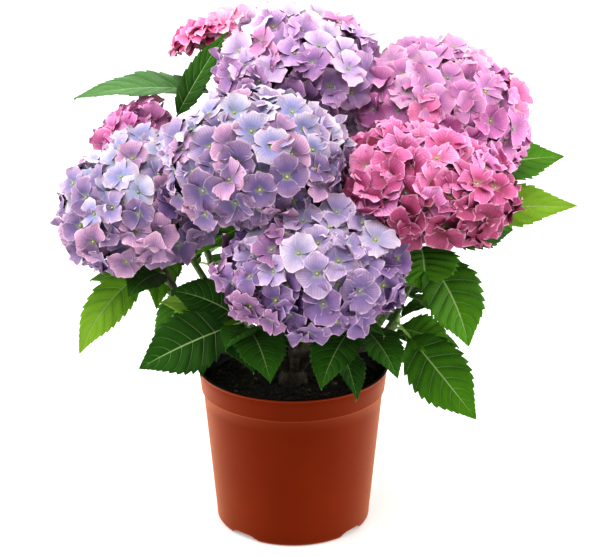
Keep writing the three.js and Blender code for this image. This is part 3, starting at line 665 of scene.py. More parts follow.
camera = bpy.data.objects.new("camera", bpy.data.cameras.new("camera"))
camera.data.sensor_fit, camera.data.sensor_width = "HORIZONTAL", SENSOR_WIDTH
camera.data.lens = FOCAL_PIXELS / PHOTO_WIDTH * SENSOR_WIDTH
tilt = math.radians(CAMERA_ELEVATION)
backwards = Vector((0, -math.cos(tilt), math.sin(tilt)))
camera.location = CAMERA_TARGET + backwards * CAMERA_DISTANCE
camera.rotation_euler = backwards.to_track_quat("Z", "Y").to_euler()
scene.collection.objects.link(camera)
scene.camera = camera
print("lens:", round(camera.data.lens, 1))

# %% [markdown]
# The pot's plastic has two layers, brick red outside and black inside. A red that is only a base colour
# turns pink in bright light, because the gloss and the light that skims the sides are white. Here both
# take an orange tint, and fine grain and faint rings of scuffs keep the gloss from looking like glass.

# %% Pot finishes
BRICK, BRICK_LIGHT = colour(104, 27, 2), colour(115, 33, 4)
POT_GLOSS, POT_EDGE = (1.0, 0.36, 0.12, 1.0), (1.0, 0.33, 0.08, 1.0)


def paint_pot_plastic(wire):
    where = on_piece(wire)
    clouds = rise(grain(wire, where, 9, 3), 0.3, 0.7)
    tone = blend(clouds, BRICK, BRICK_LIGHT)
    scuffs = grain(wire, stretched(wire, where, (9, 9, 90)), 14, 4, 0.7)
    skin = grain(wire, where, 900, 2)
    rough = 0.36 + 0.14 * rise(scuffs, 0.45, 0.75)
    return {"Base Color": tone, "Roughness": rough, "Normal": bump(skin + scuffs * 0.6, 0.2, 0.0002)}


def paint_black_plastic(wire):
    where = on_piece(wire)
    dust = rise(grain(wire, where, 120, 4), 0.5, 0.8)
    tone = blend(dust, colour(8, 8, 8), colour(22, 19, 17))
    skin = grain(wire, where, 700, 2)
    return {"Base Color": tone, "Roughness": 0.4 + 0.3 * dust, "Normal": bump(skin, 0.2, 0.0002)}


pot_outside = finish_of(
    "pot_brick_plastic", paint_pot_plastic, IOR=1.25, Specular_Tint=POT_GLOSS,
    Sheen_Weight=0.7, Sheen_Roughness=0.42, Sheen_Tint=POT_EDGE,
)
pot_inside = finish_of("pot_black_plastic", paint_black_plastic, IOR=1.15)
print("pot finishes:", pot_outside.name, pot_inside.name)

# %% [markdown]
# The pot is a thin nursery pot with a collar under its rolled lip. A turned shape is easiest as a profile
# spun round the axis. The arches between its four feet are pressed up out of the base afterwards, which
# is how the mould makes them too.

# %% The pot's profile
POT_STEPS, BODY_RINGS, BASE_RINGS = 160, 12, 10
BAND_FOOT = POT_HEIGHT - RIM_BAND
STEP_FOOT = BAND_FOOT - STEP_HEIGHT
POT_FLOOR = FOOT_GAP_HEIGHT + WALL
CORNER_BULGE, SHARP = 0.6, 0.5  # SHARP is how close the points lie that keep an edge sharp
INNER_CORNER, INNER_SLOPE = 9, 5  # where the wall turns into the floor inside, and how far in it runs


def outer_radius(height):
    return BASE_RADIUS + (RIM_RADIUS - RIM_STEP - LIP - BASE_RADIUS) * height / POT_HEIGHT


def bow(centre, radius, start, end, steps):
    """Points of an arc, as distance from the axis and height."""
    turns = np.radians(np.linspace(start, end, steps + 1))
    return [(centre[0] + radius * math.cos(t), centre[1] + radius * math.sin(t)) for t in turns]


def pot_profile():
    """From under the base up the outside to the lip, then down the inside to the floor."""
    base = [(r, 0.0) for r in np.linspace(0, FOOT_RING - 1, 5)]
    base += [(r, 0.0) for r in np.linspace(FOOT_RING + 1, BASE_RADIUS - BASE_CORNER, BASE_RINGS)]
    corner = bow((BASE_RADIUS - BASE_CORNER + CORNER_BULGE, BASE_CORNER), BASE_CORNER, -80, 0, 6)
    body = [(outer_radius(h), h) for h in np.linspace(BASE_CORNER * 1.6, STEP_FOOT, BODY_RINGS)]
    collar = outer_radius(BAND_FOOT) + RIM_STEP
    step = [(collar - SHARP, BAND_FOOT - SHARP), (collar, BAND_FOOT), (collar, BAND_FOOT + 2 * SHARP)]
    high = POT_HEIGHT - LIP_HEIGHT - LIP
    flare, tall = RIM_RADIUS - LIP - collar, high - BAND_FOOT
    band = [(collar + flare * share, BAND_FOOT + tall * share) for share in (0.3, 0.7, 1)]
    lip_middle = (RIM_RADIUS - LIP_HEIGHT / 2, POT_HEIGHT - LIP_HEIGHT / 2)
    lip = bow(lip_middle, LIP_HEIGHT / 2, -80, 180, 12)
    inside = [(RIM_RADIUS - LIP - WALL, high), (collar - WALL, BAND_FOOT)]
    inside += [(outer_radius(h) - WALL, h) for h in np.linspace(STEP_FOOT, POT_FLOOR + INNER_CORNER, 6)]
    inside += [(outer_radius(INNER_CORNER) - WALL - INNER_SLOPE, POT_FLOOR), (0.0, POT_FLOOR)]
    return base + corner + body + step + band + lip + inside


print("points in the pot's profile:", len(pot_profile()))


# %% Pot
def build_pot():
    bm = bmesh.new()
    spin_profile(bm, pot_profile(), POT_STEPS)
    between = 360 / FOOT_COUNT
    for vert in bm.verts:
        across = math.hypot(vert.co.x, vert.co.y)
        if vert.co.z > FOOT_GAP_HEIGHT or across < FOOT_RING:
            continue
        bearing = math.degrees(math.atan2(vert.co.y, vert.co.x)) - FIRST_GAP_BEARING
        turn = (bearing + between / 2) % between - between / 2
        off = across * math.sin(math.radians(turn)) / (FOOT_GAP / 2)
        if abs(off) < 1:
            vert.co.z = max(vert.co.z, FOOT_GAP_HEIGHT * (1 - abs(off) ** 4) ** 0.5)
    bmesh.ops.recalc_face_normals(bm, faces=bm.faces)
    for face in bm.faces:
        middle = face.calc_center_median()
        outwards = face.normal.dot(Vector((middle.x, middle.y, 0)).normalized())
        above_floor = middle.z > POT_FLOOR - 1
        face.material_index = int(above_floor and (outwards < -0.1 or face.normal.z > 0.6))
    piece_from("pot_shell", bm, [pot_outside, pot_inside], ["pot"])


build_pot()

# %% [markdown]
# Crumbs and florets come by the thousand, and an object for each would be slow to make and is lost in
# many file formats. So a few shapes are drawn and kept as arrays. Their copies are worked out as
# arrays too, and become one mesh, in which each copy still has its own size, turn, finish and map cell.


# %% A small shape, kept as arrays
class Template:
    """A small shape, as arrays that can be copied many times into one mesh."""

    def __init__(self, bm):
        layer = bm.loops.layers.uv.get(CHART)
        bm.verts.index_update()
        self.places = np.array([vert.co[:] for vert in bm.verts])
        self.faces = [[vert.index for vert in face.verts] for face in bm.faces]
        self.slots = np.array([face.material_index for face in bm.faces])
        spots = [loop[layer].uv[:] if layer else (0, 0) for face in bm.faces for loop in face.loops]
        self.spots = np.array(spots, float)
        self.mapped = layer is not None
        bm.free()


# %% Many copies in one mesh
def joined_copies(name, copies, cells=1):
    """One mesh in metres from (template, turn and size as a 3 by 3 array, place, cell, slot)."""
    places, faces, slots, spots, count = [], [], [], [], 0
    for template, turn, where, cell, slot in copies:
        places.append(template.places @ turn.T + where)
        faces += [[corner + count for corner in face] for face in template.faces]
        count += len(template.places)
        slots.append(template.slots + slot)
        spots.append((template.spots + (cell, 0)) / (cells, 1))
    mesh = bpy.data.meshes.new(name)
    mesh.from_pydata((np.concatenate(places) * MM).tolist(), [], faces, shade_flat=False)
    mesh.polygons.foreach_set("material_index", np.concatenate(slots).astype(np.int32))
    if copies[0][0].mapped:
        layer = mesh.uv_layers.new(name=CHART)
        layer.data.foreach_set("uv", np.concatenate(spots).astype(np.float32).ravel())
    mesh.update()
    return mesh


def turned_by(axis, hint, spin, size):
    """The 3 by 3 array that stands a shape up along an axis, spins it and sizes it."""
    along, across, other = frame_on(axis, hint)
    one = math.cos(spin) * across + math.sin(spin) * other
    two = math.cos(spin) * other - math.sin(spin) * across
    return np.stack([one, two, along], 1) * size


# %% [markdown]
# Compost is a dark, crumbly surface. A flat disc looks like paint, so the disc is heaved by noise, and
# crumbs, bits of bark and pale grains lie on it. Each crumb is one of a few small lumps.


# %% Compost finishes
def paint_compost(wire, light):
    where = on_piece(wire)
    lumps = grain(wire, where, 420, 5, 0.7)
    tone = blend(rise(lumps, 0.35, 0.75), colour(14, 10, 8), light)
    return {"Base Color": tone, "Normal": bump(lumps, 0.9, 0.0015)}


compost_finishes = [
    finish_of(name, paint_compost, [light], Roughness=rough)
    for name, light, rough in (
        ("compost", colour(46, 34, 25), 0.95),
        ("compost_bark_bits", colour(84, 58, 38), 0.9),
        ("compost_pale_grains", colour(150, 138, 118), 0.9),
    )
]
print("compost finishes:", len(compost_finishes))

# %% The bed of compost
SOIL_RADIUS = outer_radius(STEP_FOOT) - WALL - 2 * CLEAR
SOIL_SINK, HEAVE, FINE_HEAVE = 0.8, 1.6, 0.8


def soil_height(x, y):
    edge = min(1, math.hypot(x, y) / SOIL_RADIUS)
    heave = HEAVE * noise.noise(Vector((x / 22, y / 22, 3)))
    heave += FINE_HEAVE * noise.noise(Vector((x / 7, y / 7, 9)))
    return GROUND - SOIL_SINK - SOIL_EDGE_DROP * edge**3 + heave


def build_compost():
    bm = bmesh.new()
    foot = outer_radius(INNER_CORNER) - WALL - INNER_SLOPE - 1
    profile = [(0.0, POT_FLOOR + CLEAR), (foot, POT_FLOOR + CLEAR)]
    profile += [(outer_radius(h) - WALL - 2 * CLEAR, h) for h in (POT_FLOOR + INNER_CORNER + 1, STEP_FOOT)]
    profile += [(SOIL_RADIUS * share, GROUND) for share in np.linspace(1, 0, 40)]
    spin_profile(bm, profile, 96)
    for vert in bm.verts:
        if vert.co.z > STEP_FOOT + 1:
            vert.co.z = soil_height(vert.co.x, vert.co.y)
    bmesh.ops.recalc_face_normals(bm, faces=bm.faces)
    piece_from("compost_bed", bm, compost_finishes[:1], ["root_ball"])


build_compost()

# %% Crumbs
CRUMBS, CRUMB_SIZE = 1500, (0.9, 3.4)
PEAT_SHARE, BARK_SHARE = 0.62, 0.33  # of the crumbs, and the rest are pale grains


def crumb_shape(seed, flat):
    bm = bmesh.new()
    chance = seeded(seed)
    bmesh.ops.create_icosphere(bm, subdivisions=1, radius=1)
    for vert in bm.verts:
        vert.co *= chance(0.65, 1.2)
        vert.co.z *= flat
    return Template(bm)


def build_crumbs():
    chance = seeded(77)
    shapes = [crumb_shape(seed, flat) for seed, flat in ((5, 0.8), (6, 0.5), (7, 0.9), (8, 0.35))]
    copies = []
    for _ in range(CRUMBS):
        out, turn = (SOIL_RADIUS - 2) * chance(0.02, 1) ** 0.5, chance(0, 2 * math.pi)
        x, y = out * math.cos(turn), out * math.sin(turn)
        size = chance(0.1, 1) ** 2 * (CRUMB_SIZE[1] - CRUMB_SIZE[0]) + CRUMB_SIZE[0]
        lean = unit(vec(chance(-0.5, 0.5), chance(-0.5, 0.5), 1))
        pick = chance(0, 1)
        slot = 0 if pick < PEAT_SHARE else 1 if pick < PEAT_SHARE + BARK_SHARE else 2
        place = vec(x, y, soil_height(x, y) + 0.2 * size)
        shape = shapes[int(chance(0, len(shapes) - 0.01))]
        copies.append((shape, turned_by(lean, vec(1, 0, 0), turn, size), place, 0, slot))
    add_piece("compost_crumbs", joined_copies("compost_crumbs", copies), compost_finishes)


build_crumbs()

# %% [markdown]
# Old hydrangea wood is grey brown, with fine cracks along it. New shoots are green and faintly ribbed, with
# short dark flecks, and leaf stalks are paler. Long fine lines come from noise that is stretched along
# the height, which is enough here, as every stem stands up.

# %% Bark and stem finishes
STEM_TONES = {
    "stem_green": (colour(56, 84, 30), colour(98, 124, 54)),
    "stem_purple_brown": (colour(44, 34, 26), colour(74, 62, 40)),
    "petiole_green": (colour(104, 142, 60), colour(162, 188, 112)),
}


def paint_bark(wire):
    where = on_piece(wire)
    ridges = grain(wire, stretched(wire, where, (1, 1, 0.12)), 900, 4, 0.65)
    plates = grain(wire, where, 110, 3)
    tone = blend(rise(ridges, 0.35, 0.7), colour(24, 18, 14), colour(82, 68, 54))
    tone = blend(rise(plates, 0.5, 0.75) * 0.6, tone, colour(104, 94, 80))
    return {"Base Color": tone, "Roughness": 0.75 + 0.2 * ridges, "Normal": bump(ridges, 0.8, 0.0008)}


def paint_stem(wire, green, light):
    where = on_piece(wire)
    ribs = grain(wire, stretched(wire, where, (1, 1, 0.2)), 500, 3)
    flecks = grain(wire, where, 700, 2)
    tone = blend(rise(ribs, 0.35, 0.7), green, light)
    tone = blend(rise(flecks, 0.66, 0.74) * 0.7, tone, colour(70, 48, 44))
    return {"Base Color": tone, "Roughness": 0.4 + 0.2 * ribs, "Normal": bump(ribs, 0.4, 0.0004)}


bark = finish_of("bark", paint_bark)
stem_looks = [finish_of(name, paint_stem, tones) for name, tones in STEM_TONES.items()]
print("stem finishes:", len(stem_looks))

# %% [markdown]
# A cane has ridges along it and a swollen ring wherever a pair of leaves once grew. They are modelled, so
# they break up the outline, where bump alone would leave it smooth. The crown is a knob of the same wood.

# %% The relief of bark
NODE_SPACING, RING_WIDTH, RING_SWELL = 26, 0.07, 0.1
RIDGES, RIDGE_DEPTH, WANDER_DEPTH = 7, 0.035, 0.07


def bark_radius(start, end, length, seed):
    """A radius with ridges round the cane and a swollen ring every few centimetres."""

    def radius(around, along):
        run, turn = along * length, 2 * np.pi * around
        ring = np.exp(-(((run / NODE_SPACING + 0.4) % 1 - 0.5) / RING_WIDTH) ** 2)
        spots = zip(np.cos(turn) * 2, np.sin(turn) * 2, run / 9 + seed)
        wander = np.array([noise.noise(Vector(spot)) for spot in spots])
        ridge = np.sin(RIDGES * turn + 2 * np.sin(run / 30))
        relief = 1 + RIDGE_DEPTH * ridge + WANDER_DEPTH * wander + RING_SWELL * ring
        return (start + (end - start) * along) * relief

    return radius


# %% Crown
CROWN_KNOBS = 0.1
CROWN_PROFILE = (
    (0, -2), (CROWN_RADIUS, -2), (CROWN_RADIUS, 1), (CROWN_RADIUS * 0.93, 6), (9.5, 11.4), (4, 13.4),
    (0, CROWN_HEIGHT),
)


def build_crown():
    bm = bmesh.new()
    spin_profile(bm, [(radius, height + CROWN_TOP[2]) for radius, height in CROWN_PROFILE], 40)
    sloping = [edge for edge in bm.edges if edge.verts[0].co.z != edge.verts[1].co.z]
    bmesh.ops.subdivide_edges(bm, edges=sloping, cuts=2)
    for vert in bm.verts:
        knob = noise.noise(vert.co / 6) + 0.5 * noise.noise(vert.co / 2.5)
        vert.co.xy = vert.co.xy * (1 + CROWN_KNOBS * knob)
    bmesh.ops.recalc_face_normals(bm, faces=bm.faces)
    for number, name in enumerate(CANES):
        end = CANE_ROOT + cane_leaving(name) * (CROWN_STUB + 1)
        radius = bark_radius(CANE_RADIUS * 1.1, CANE_RADIUS, CROWN_STUB, number)
        roll_tube(bm, straight(CANE_ROOT, end), radius, 18, 16)
    close_ends(bm)
    piece_from("woody_crown", bm, [bark], ["crown_base"])


build_crown()


# %% Canes
def build_cane(name, number):
    bm = bmesh.new()
    fork = vec(*CANES[name])
    curve = cane_curve(name)
    length = np.linalg.norm(curve(1) - curve(0))
    roll_tube(bm, curve, bark_radius(CANE_RADIUS, CANE_TIP_RADIUS, length, number), 18, 36)
    for other, (cane, leaving, _) in enumerate(SHOOTS.values()):
        if cane == name:
            stub = straight(fork - leaving * 2, fork + leaving * FORK_STUB)
            radius = bark_radius(CANE_TIP_RADIUS, SHOOT_RADIUS * 1.05, FORK_STUB, other + 10)
            roll_tube(bm, stub, radius, 16, 12)
    close_ends(bm)
    piece_from(f"bark_cane_{name}", bm, [bark], [f"cane_{name}"])


for number, name in enumerate(CANES):
    build_cane(name, number)

# %% [markdown]
# A leaf is a deep green with a pale midrib, pale side veins and a fine net between them, and its
# underside is paler and duller. A picture of a leaf could be laid on, but lines worked out from the
# leaf's own map stay sharp at any size and meet the modelled veins exactly. There are six tints, from
# shade to full light.

# %% Tints and lines of a leaf
# But for sage, these are shaded and lit copies of one green, from painted shade in the darkest to painted
# light in the palest, and the lime green one is painted light shining through the blade.
LEAF_TINTS = {
    "dark": (colour(8, 42, 4), colour(34, 90, 8)),
    "deep": (colour(12, 54, 4), colour(52, 112, 8)),
    "mid": (colour(24, 74, 4), colour(82, 138, 10)),
    "bright": (colour(48, 104, 10), colour(104, 158, 26)),
    "lime": (colour(84, 136, 22), colour(150, 190, 60)),
    "sage": (colour(54, 98, 48), colour(112, 156, 96)),
}
UNDERSIDE = len(LEAF_TINTS)
LEAF_CELLS = UNDERSIDE + 1
VEIN, LEAF_SHEEN = colour(172, 198, 136), (0.7, 1.0, 0.4, 1.0)
SIDE_VEINS, VEIN_SITE = 8, 0.03


def vein_gap(along):
    """How far a place is from the nearest side vein: 0 on it and 0.5 midway."""
    return abs((along * SIDE_VEINS - VEIN_SITE + 0.5) % 1 - 0.5)


def leaf_lines(along, across):
    """Masks for the midrib, the side veins and the fine net between them."""
    reach = abs(across)
    midrib = 1 - rise(reach, 0.014, 0.04)
    side = (1 - rise(vein_gap(along) / (1.2 - reach), 0.012, 0.05)) * (1 - rise(reach, 0.85, 1.0))
    spot = along.node("ShaderNodeCombineXYZ", None, {"X": along * 46, "Y": across * 11, "Z": 0.0})
    settings = {"feature": "DISTANCE_TO_EDGE", "voronoi_dimensions": "2D"}
    net = along.node("ShaderNodeTexVoronoi", settings, {"Vector": spot, "Scale": 1.0})
    return midrib, side, 1 - rise(net, 0.02, 0.16)


# %% Leaf finishes
def paint_leaf(wire, cell, dark, light):
    along, across = cell_chart(wire, cell, LEAF_CELLS)
    midrib, side, net = leaf_lines(along, across)
    where = along.node("ShaderNodeCombineXYZ", None, {"X": along * 5, "Y": across * 2, "Z": float(cell)})
    clouds, specks = grain(wire, where, 1.4, 3), grain(wire, where, 14, 2)
    # Darker at the foot and paler to the tip: partly the leaf's own paler tip, partly painted shade where
    # the heads hang over the foot.
    tone = blend(rise(along + 0.5 * clouds, 0.25, 1.25), dark, light)
    # Paler midway between the side veins, where the quilted panels swell: a painted highlight.
    tone = blend(rise(vein_gap(along), 0.1, 0.5) * 0.3, tone, light)
    tone = blend(rise(specks, 0.5, 0.72) * 0.45, tone, dark)
    tone = blend(net * 0.25, tone, light)
    tone = blend(side * 0.36, tone, VEIN)
    tone = blend(midrib * 0.75, tone, VEIN)
    height = net * -0.7 - side * 0.8 - midrib * 0.6 + clouds * 0.5 + specks * 0.5
    return {"Base Color": tone, "Roughness": 0.42 + 0.14 * clouds, "Normal": bump(height, 0.7, 0.0006)}


def paint_underside(wire):
    along, across = cell_chart(wire, UNDERSIDE, LEAF_CELLS)
    midrib, side, net = leaf_lines(along, across)
    tone = blend(rise(along, 0.1, 1.0), colour(78, 122, 44), colour(108, 150, 62))
    lines = net * 0.25 + side * 0.6 + midrib * 0.7
    tone = blend(lines.smaller(1.0), tone, colour(178, 202, 130))
    return {"Base Color": tone, "Normal": bump(net * 0.5 + side + midrib, 0.6, 0.0006)}


leaf_looks = [
    finish_of(f"leaf_{name}", paint_leaf, (cell, *tones), Specular_IOR_Level=0.35, Specular_Tint=LEAF_SHEEN)
    for cell, (name, tones) in enumerate(LEAF_TINTS.items())
]
leaf_looks.append(finish_of("leaf_underside", paint_underside, Roughness=0.62))
print("leaf finishes:", len(leaf_looks))

# %% [markdown]
# A hydrangea leaf is broad, toothed and quilted: the veins sink into its upper side and the panels
# between them swell. One flat plane would miss all of that, so the blade is a grid whose rows follow the
# side veins. Every few rows a vein is sunk, and the edge is drawn in and out to cut the teeth. The sheet
# then gets its thickness, and its lower side becomes the paler green of a leaf's underside.

# %% The shape of a leaf blade
VEIN_STATIONS = (0, 0.06, 0.16, 0.34, 0.56, 0.66, 0.84)
TEETH = np.array((0.7, 1.0, -1.0, 0.0, 1.0, -1.0, 0.0))
ROWS = [(vein + station) / SIDE_VEINS for vein in range(SIDE_VEINS) for station in VEIN_STATIONS] + [1]
COLUMNS = (1, 0.88, 0.68, 0.46, 0.25, 0.09, 0.03, -0.03, -0.09, -0.25, -0.46, -0.68, -0.88, -1)
VEIN_SWEEP, TOOTH_DEPTH, TOOTH_LEAN = 0.94, 0.065, 0.01
TIP_START, TIP_RUN, TIP_PINCH = 0.66, 0.26, 0.3
QUILT, MIDRIB_SINK, MIDRIB_REACH, WAVE, WAVES = 1.1, 0.5, 0.06, 1.5, 17
FULL_HALF = 24  # half the width of a leaf whose quilting and waves are at full size


def grid_values(stations, share):
    return np.interp(share, np.linspace(0, 1, len(stations)), stations)


def blade_place(leaf):
    phase = seeded(leaf.number + 5000)(0, 6)

    def place(column, line):
        row, across = grid_values(ROWS, line), grid_values(COLUMNS, column)
        reach = abs(across)
        number = np.rint(line * (len(ROWS) - 1)).astype(int)
        tooth = np.where(reach > 0.99, TEETH[number % len(TEETH)], 0)
        along = np.clip(row + VEIN_SWEEP * row * (1 - row) * reach**1.2, 0, 1)
        along = np.clip(along + TOOTH_LEAN * tooth * (along * (1 - along) * 4), 0, 1)
        pinch = 1 - TIP_PINCH * np.clip((along - TIP_START) / TIP_RUN, 0, 1)
        half = leaf.width / 2 * blade_shape(along) * pinch
        out = across * half * (1 + TOOTH_DEPTH * tooth)
        share = leaf.petiole + (1 - leaf.petiole) * along
        side, over = leaf.square(share, leaf.eased_roll(along))
        panel = (row * SIDE_VEINS % 1 - VEIN_STATIONS[1]) / (1 - VEIN_STATIONS[1])
        swell = np.sin(np.pi * np.clip(panel, 0, 1)) ** 0.7
        size = half / FULL_HALF
        lift = abs(out) * math.tan(math.radians(LEAF_FOLD)) * (1.25 - 0.35 * reach)
        lift += QUILT * swell * np.clip(reach * 4, 0, 1) * (1 - 0.5 * reach**3) * size
        lift -= MIDRIB_SINK * np.clip(1 - reach / MIDRIB_REACH, 0, 1)
        lift += WAVE * np.sin(along * WAVES + phase + np.sign(across)) * reach**2.5 * size
        return leaf.arc(share) + out[:, None] * side + lift[:, None] * over

    return place


def blade_chart(column, line):
    return np.stack([grid_values(ROWS, line), grid_values(COLUMNS, column) / 2 + 0.5], 1)


# %% Build the leaves
BLADE_THICKNESS = 0.5
SHADE_REACH, SHADE_DEPTH = 125, 20  # leaves in front, this near the middle, are shaded and dark


def tint_of(leaf):
    """A listed leaf has its own tint, and the rest are dealt theirs, darker in the shade in front."""
    if leaf.tint:
        return leaf.tint
    chance, tip = seeded(leaf.number + 900)(0, 1), leaf.arc(1)
    if tip[1] < SHADE_DEPTH and abs(tip[0]) < SHADE_REACH:
        return "dark" if chance < 0.5 else "deep"
    return "deep" if chance < 0.3 else "mid" if chance < 0.75 else "bright"


def build_leaves(shoot):
    bm = bmesh.new()
    for leaf in (leaf for leaf in LEAVES if leaf.shoot == shoot):
        tint, grid = list(LEAF_TINTS).index(tint_of(leaf)), (len(COLUMNS) - 1, len(ROWS) - 1)
        lay_grid(bm, *grid, blade_place(leaf), blade_chart, cell=(tint, LEAF_CELLS), slot=tint)
    bmesh.ops.remove_doubles(bm, verts=bm.verts, dist=MERGE)
    made = bmesh.ops.solidify(bm, geom=list(bm.faces), thickness=BLADE_THICKNESS)["geom"]
    layer = bm.loops.layers.uv[CHART]
    for face in (item for item in made if isinstance(item, bmesh.types.BMFace)):
        for loop in face.loops:
            spot = loop[layer].uv
            loop[layer].uv = (spot.x + (UNDERSIDE - face.material_index) / LEAF_CELLS, spot.y)
        face.material_index = UNDERSIDE
    piece_from(f"leaves_{shoot}", bm, leaf_looks, [f"leafy_shoot_{shoot}"])


for shoot in SHOOTS:
    build_leaves(shoot)

# %% [markdown]
# The green wood is one piece: the shoots, with a swollen joint under each pair of leaves, and for each
# leaf a stalk that runs on under the blade as its raised midrib.

# %% Shoots, leaf stalks and midribs
JOINT_REACH, JOINT_SWELL, OVAL = 0.025, 0.28, 0.03
MIDRIB_ROUND, MIDRIB_THINNING, MIDRIB_DEPTH, MIDRIB_RISE, MIDRIB_END = 0.9, 0.72, 1.1, 0.6, 0.97


def shoot_radius(shares):
    def radius(around, along):
        plain = SHOOT_RADIUS + (SHOOT_TIP_RADIUS - SHOOT_RADIUS) * along
        joints = sum(np.exp(-(((along - share) / JOINT_REACH) ** 2)) for share in shares)
        return plain * (1 + JOINT_SWELL * joints + OVAL * np.cos(4 * np.pi * around))

    return radius


def stalk_and_midrib(leaf):
    """The curve of a leaf's stalk and of its midrib under the blade, and their radius."""

    def middle(share):
        share = np.asarray(share, float)
        blade = np.clip((share - leaf.petiole) / (1 - leaf.petiole), 0, 1)
        _, over = leaf.square(share, leaf.eased_roll(blade))
        sink = np.where(share < leaf.petiole, 0, MIDRIB_DEPTH - MIDRIB_RISE * blade)
        return leaf.arc(share) - sink[..., None] * over

    def radius(around, along):
        stalk = PETIOLE_RADIUS * (1.35 - 0.55 * np.clip(along / leaf.petiole * 3, 0, 1))
        thinning = np.clip((along - leaf.petiole) / (1 - leaf.petiole), 0, 1)
        return np.where(along < leaf.petiole, stalk, MIDRIB_ROUND - MIDRIB_THINNING * thinning)

    return middle, radius


# %% Build the green wood
DARK_SHOOTS = ("left_blue", "low_violet", "front_blue")
GREEN, DARK, STALK = range(3)
BUD, BUD_LENGTH, BUD_TIP = 2.6, 9, 0.5


def build_stems():
    bm = bmesh.new()
    for shoot, (_, _, curve) in SHOOTS.items():
        shares = {row[0] for row in FRONT_LEAVES.get(shoot, ())} | set(LEAF_PAIRS.get(shoot, ()))
        roll_tube(bm, curve, shoot_radius(shares), 12, 60, DARK if shoot in DARK_SHOOTS else GREEN)
        if shoot in SIDE_SHOOTS:
            tip = unit(curve(1) - curve(0.97))
            bud = straight(curve(1) - tip, curve(1) + tip * BUD_LENGTH)
            roll_tube(bm, bud, tapering(BUD, BUD_TIP), 10, 6, STALK)
    for leaf in LEAVES:
        roll_tube(bm, *stalk_and_midrib(leaf), 8, 22, STALK, (0, MIDRIB_END))
    close_ends(bm)
    piece_from("shoots_and_leaf_stalks", bm, stem_looks)


build_stems()

# %% [markdown]
# A mophead is a dome of sterile florets. Each floret is four broad sepals round a tiny bead, on a thin
# stalk. Making each of the hundreds by hand is hopeless, and one shape copied everywhere looks stamped,
# so fourteen florets are modelled with their own curl, lift and ruffle, and copied at many turns and
# sizes. A sepal needs few faces: five stations along it and across it are enough for its curl and cup.

# %% Floret shapes
FLORET_SHAPES = 14
SEPAL_STATIONS = (0.0, 0.26, 0.52, 0.8, 1.0)
SEPAL_WIDTHS = (0.11, 0.5, 0.74, 0.78, 0.69)
SEPAL_WIDTH, SEPAL_ROUNDING = 0.72, 0.32


def sepal_place(chance, bearing, raised, open_lift):
    """Lays one sepal: lift and curl along it, a cup across it, and a ruffle at its edge."""
    turn = math.radians(bearing)
    lift, curl, cup = open_lift + chance(-0.15, 0.2), chance(0.15, 0.6), chance(0.0, 0.5)
    ruffle, phase, wide, long = chance(0.06, 0.17), chance(0, 6), chance(0.88, 1.12), chance(0.86, 1.06)
    twist, blunt = chance(-0.35, 0.35), chance(0.5, 0.95)
    widths = SEPAL_WIDTHS[:-1] + (SEPAL_WIDTHS[-1] * blunt,)

    def place(column, line):
        along, across = grid_values(SEPAL_STATIONS, line), 2 * column - 1
        half = SEPAL_WIDTH * wide * np.interp(along, SEPAL_STATIONS, widths)
        x = across * half
        y = along * (1 - SEPAL_ROUNDING * blunt * across**2 * along) * long
        z = lift * y - curl * y**2 + cup * x**2 * 1.6 + twist * x * y
        z += ruffle * np.sin(5 * across + phase) * along**2 + raised * np.clip(along * 3, 0, 1)
        flat = (x * math.cos(turn) - y * math.sin(turn), x * math.sin(turn) + y * math.cos(turn), z)
        return np.stack(flat, 1) * FLORET_RADIUS

    return place


def sepal_chart(column, line):
    return np.stack([grid_values(SEPAL_STATIONS, line), column], 1)


def floret_shape(seed):
    bm = bmesh.new()
    chance = seeded(seed)
    open_lift = chance(0.15, 0.8)
    for number in range(4):
        bearing = 90 * number + chance(-9, 9)
        lay_grid(bm, 4, 4, sepal_place(chance, bearing, 0.09 * (number % 2), open_lift), sepal_chart)
    return Template(bm)


floret_shapes = [floret_shape(400 + number) for number in range(FLORET_SHAPES)]
print("faces in a floret:", len(floret_shapes[0].faces))
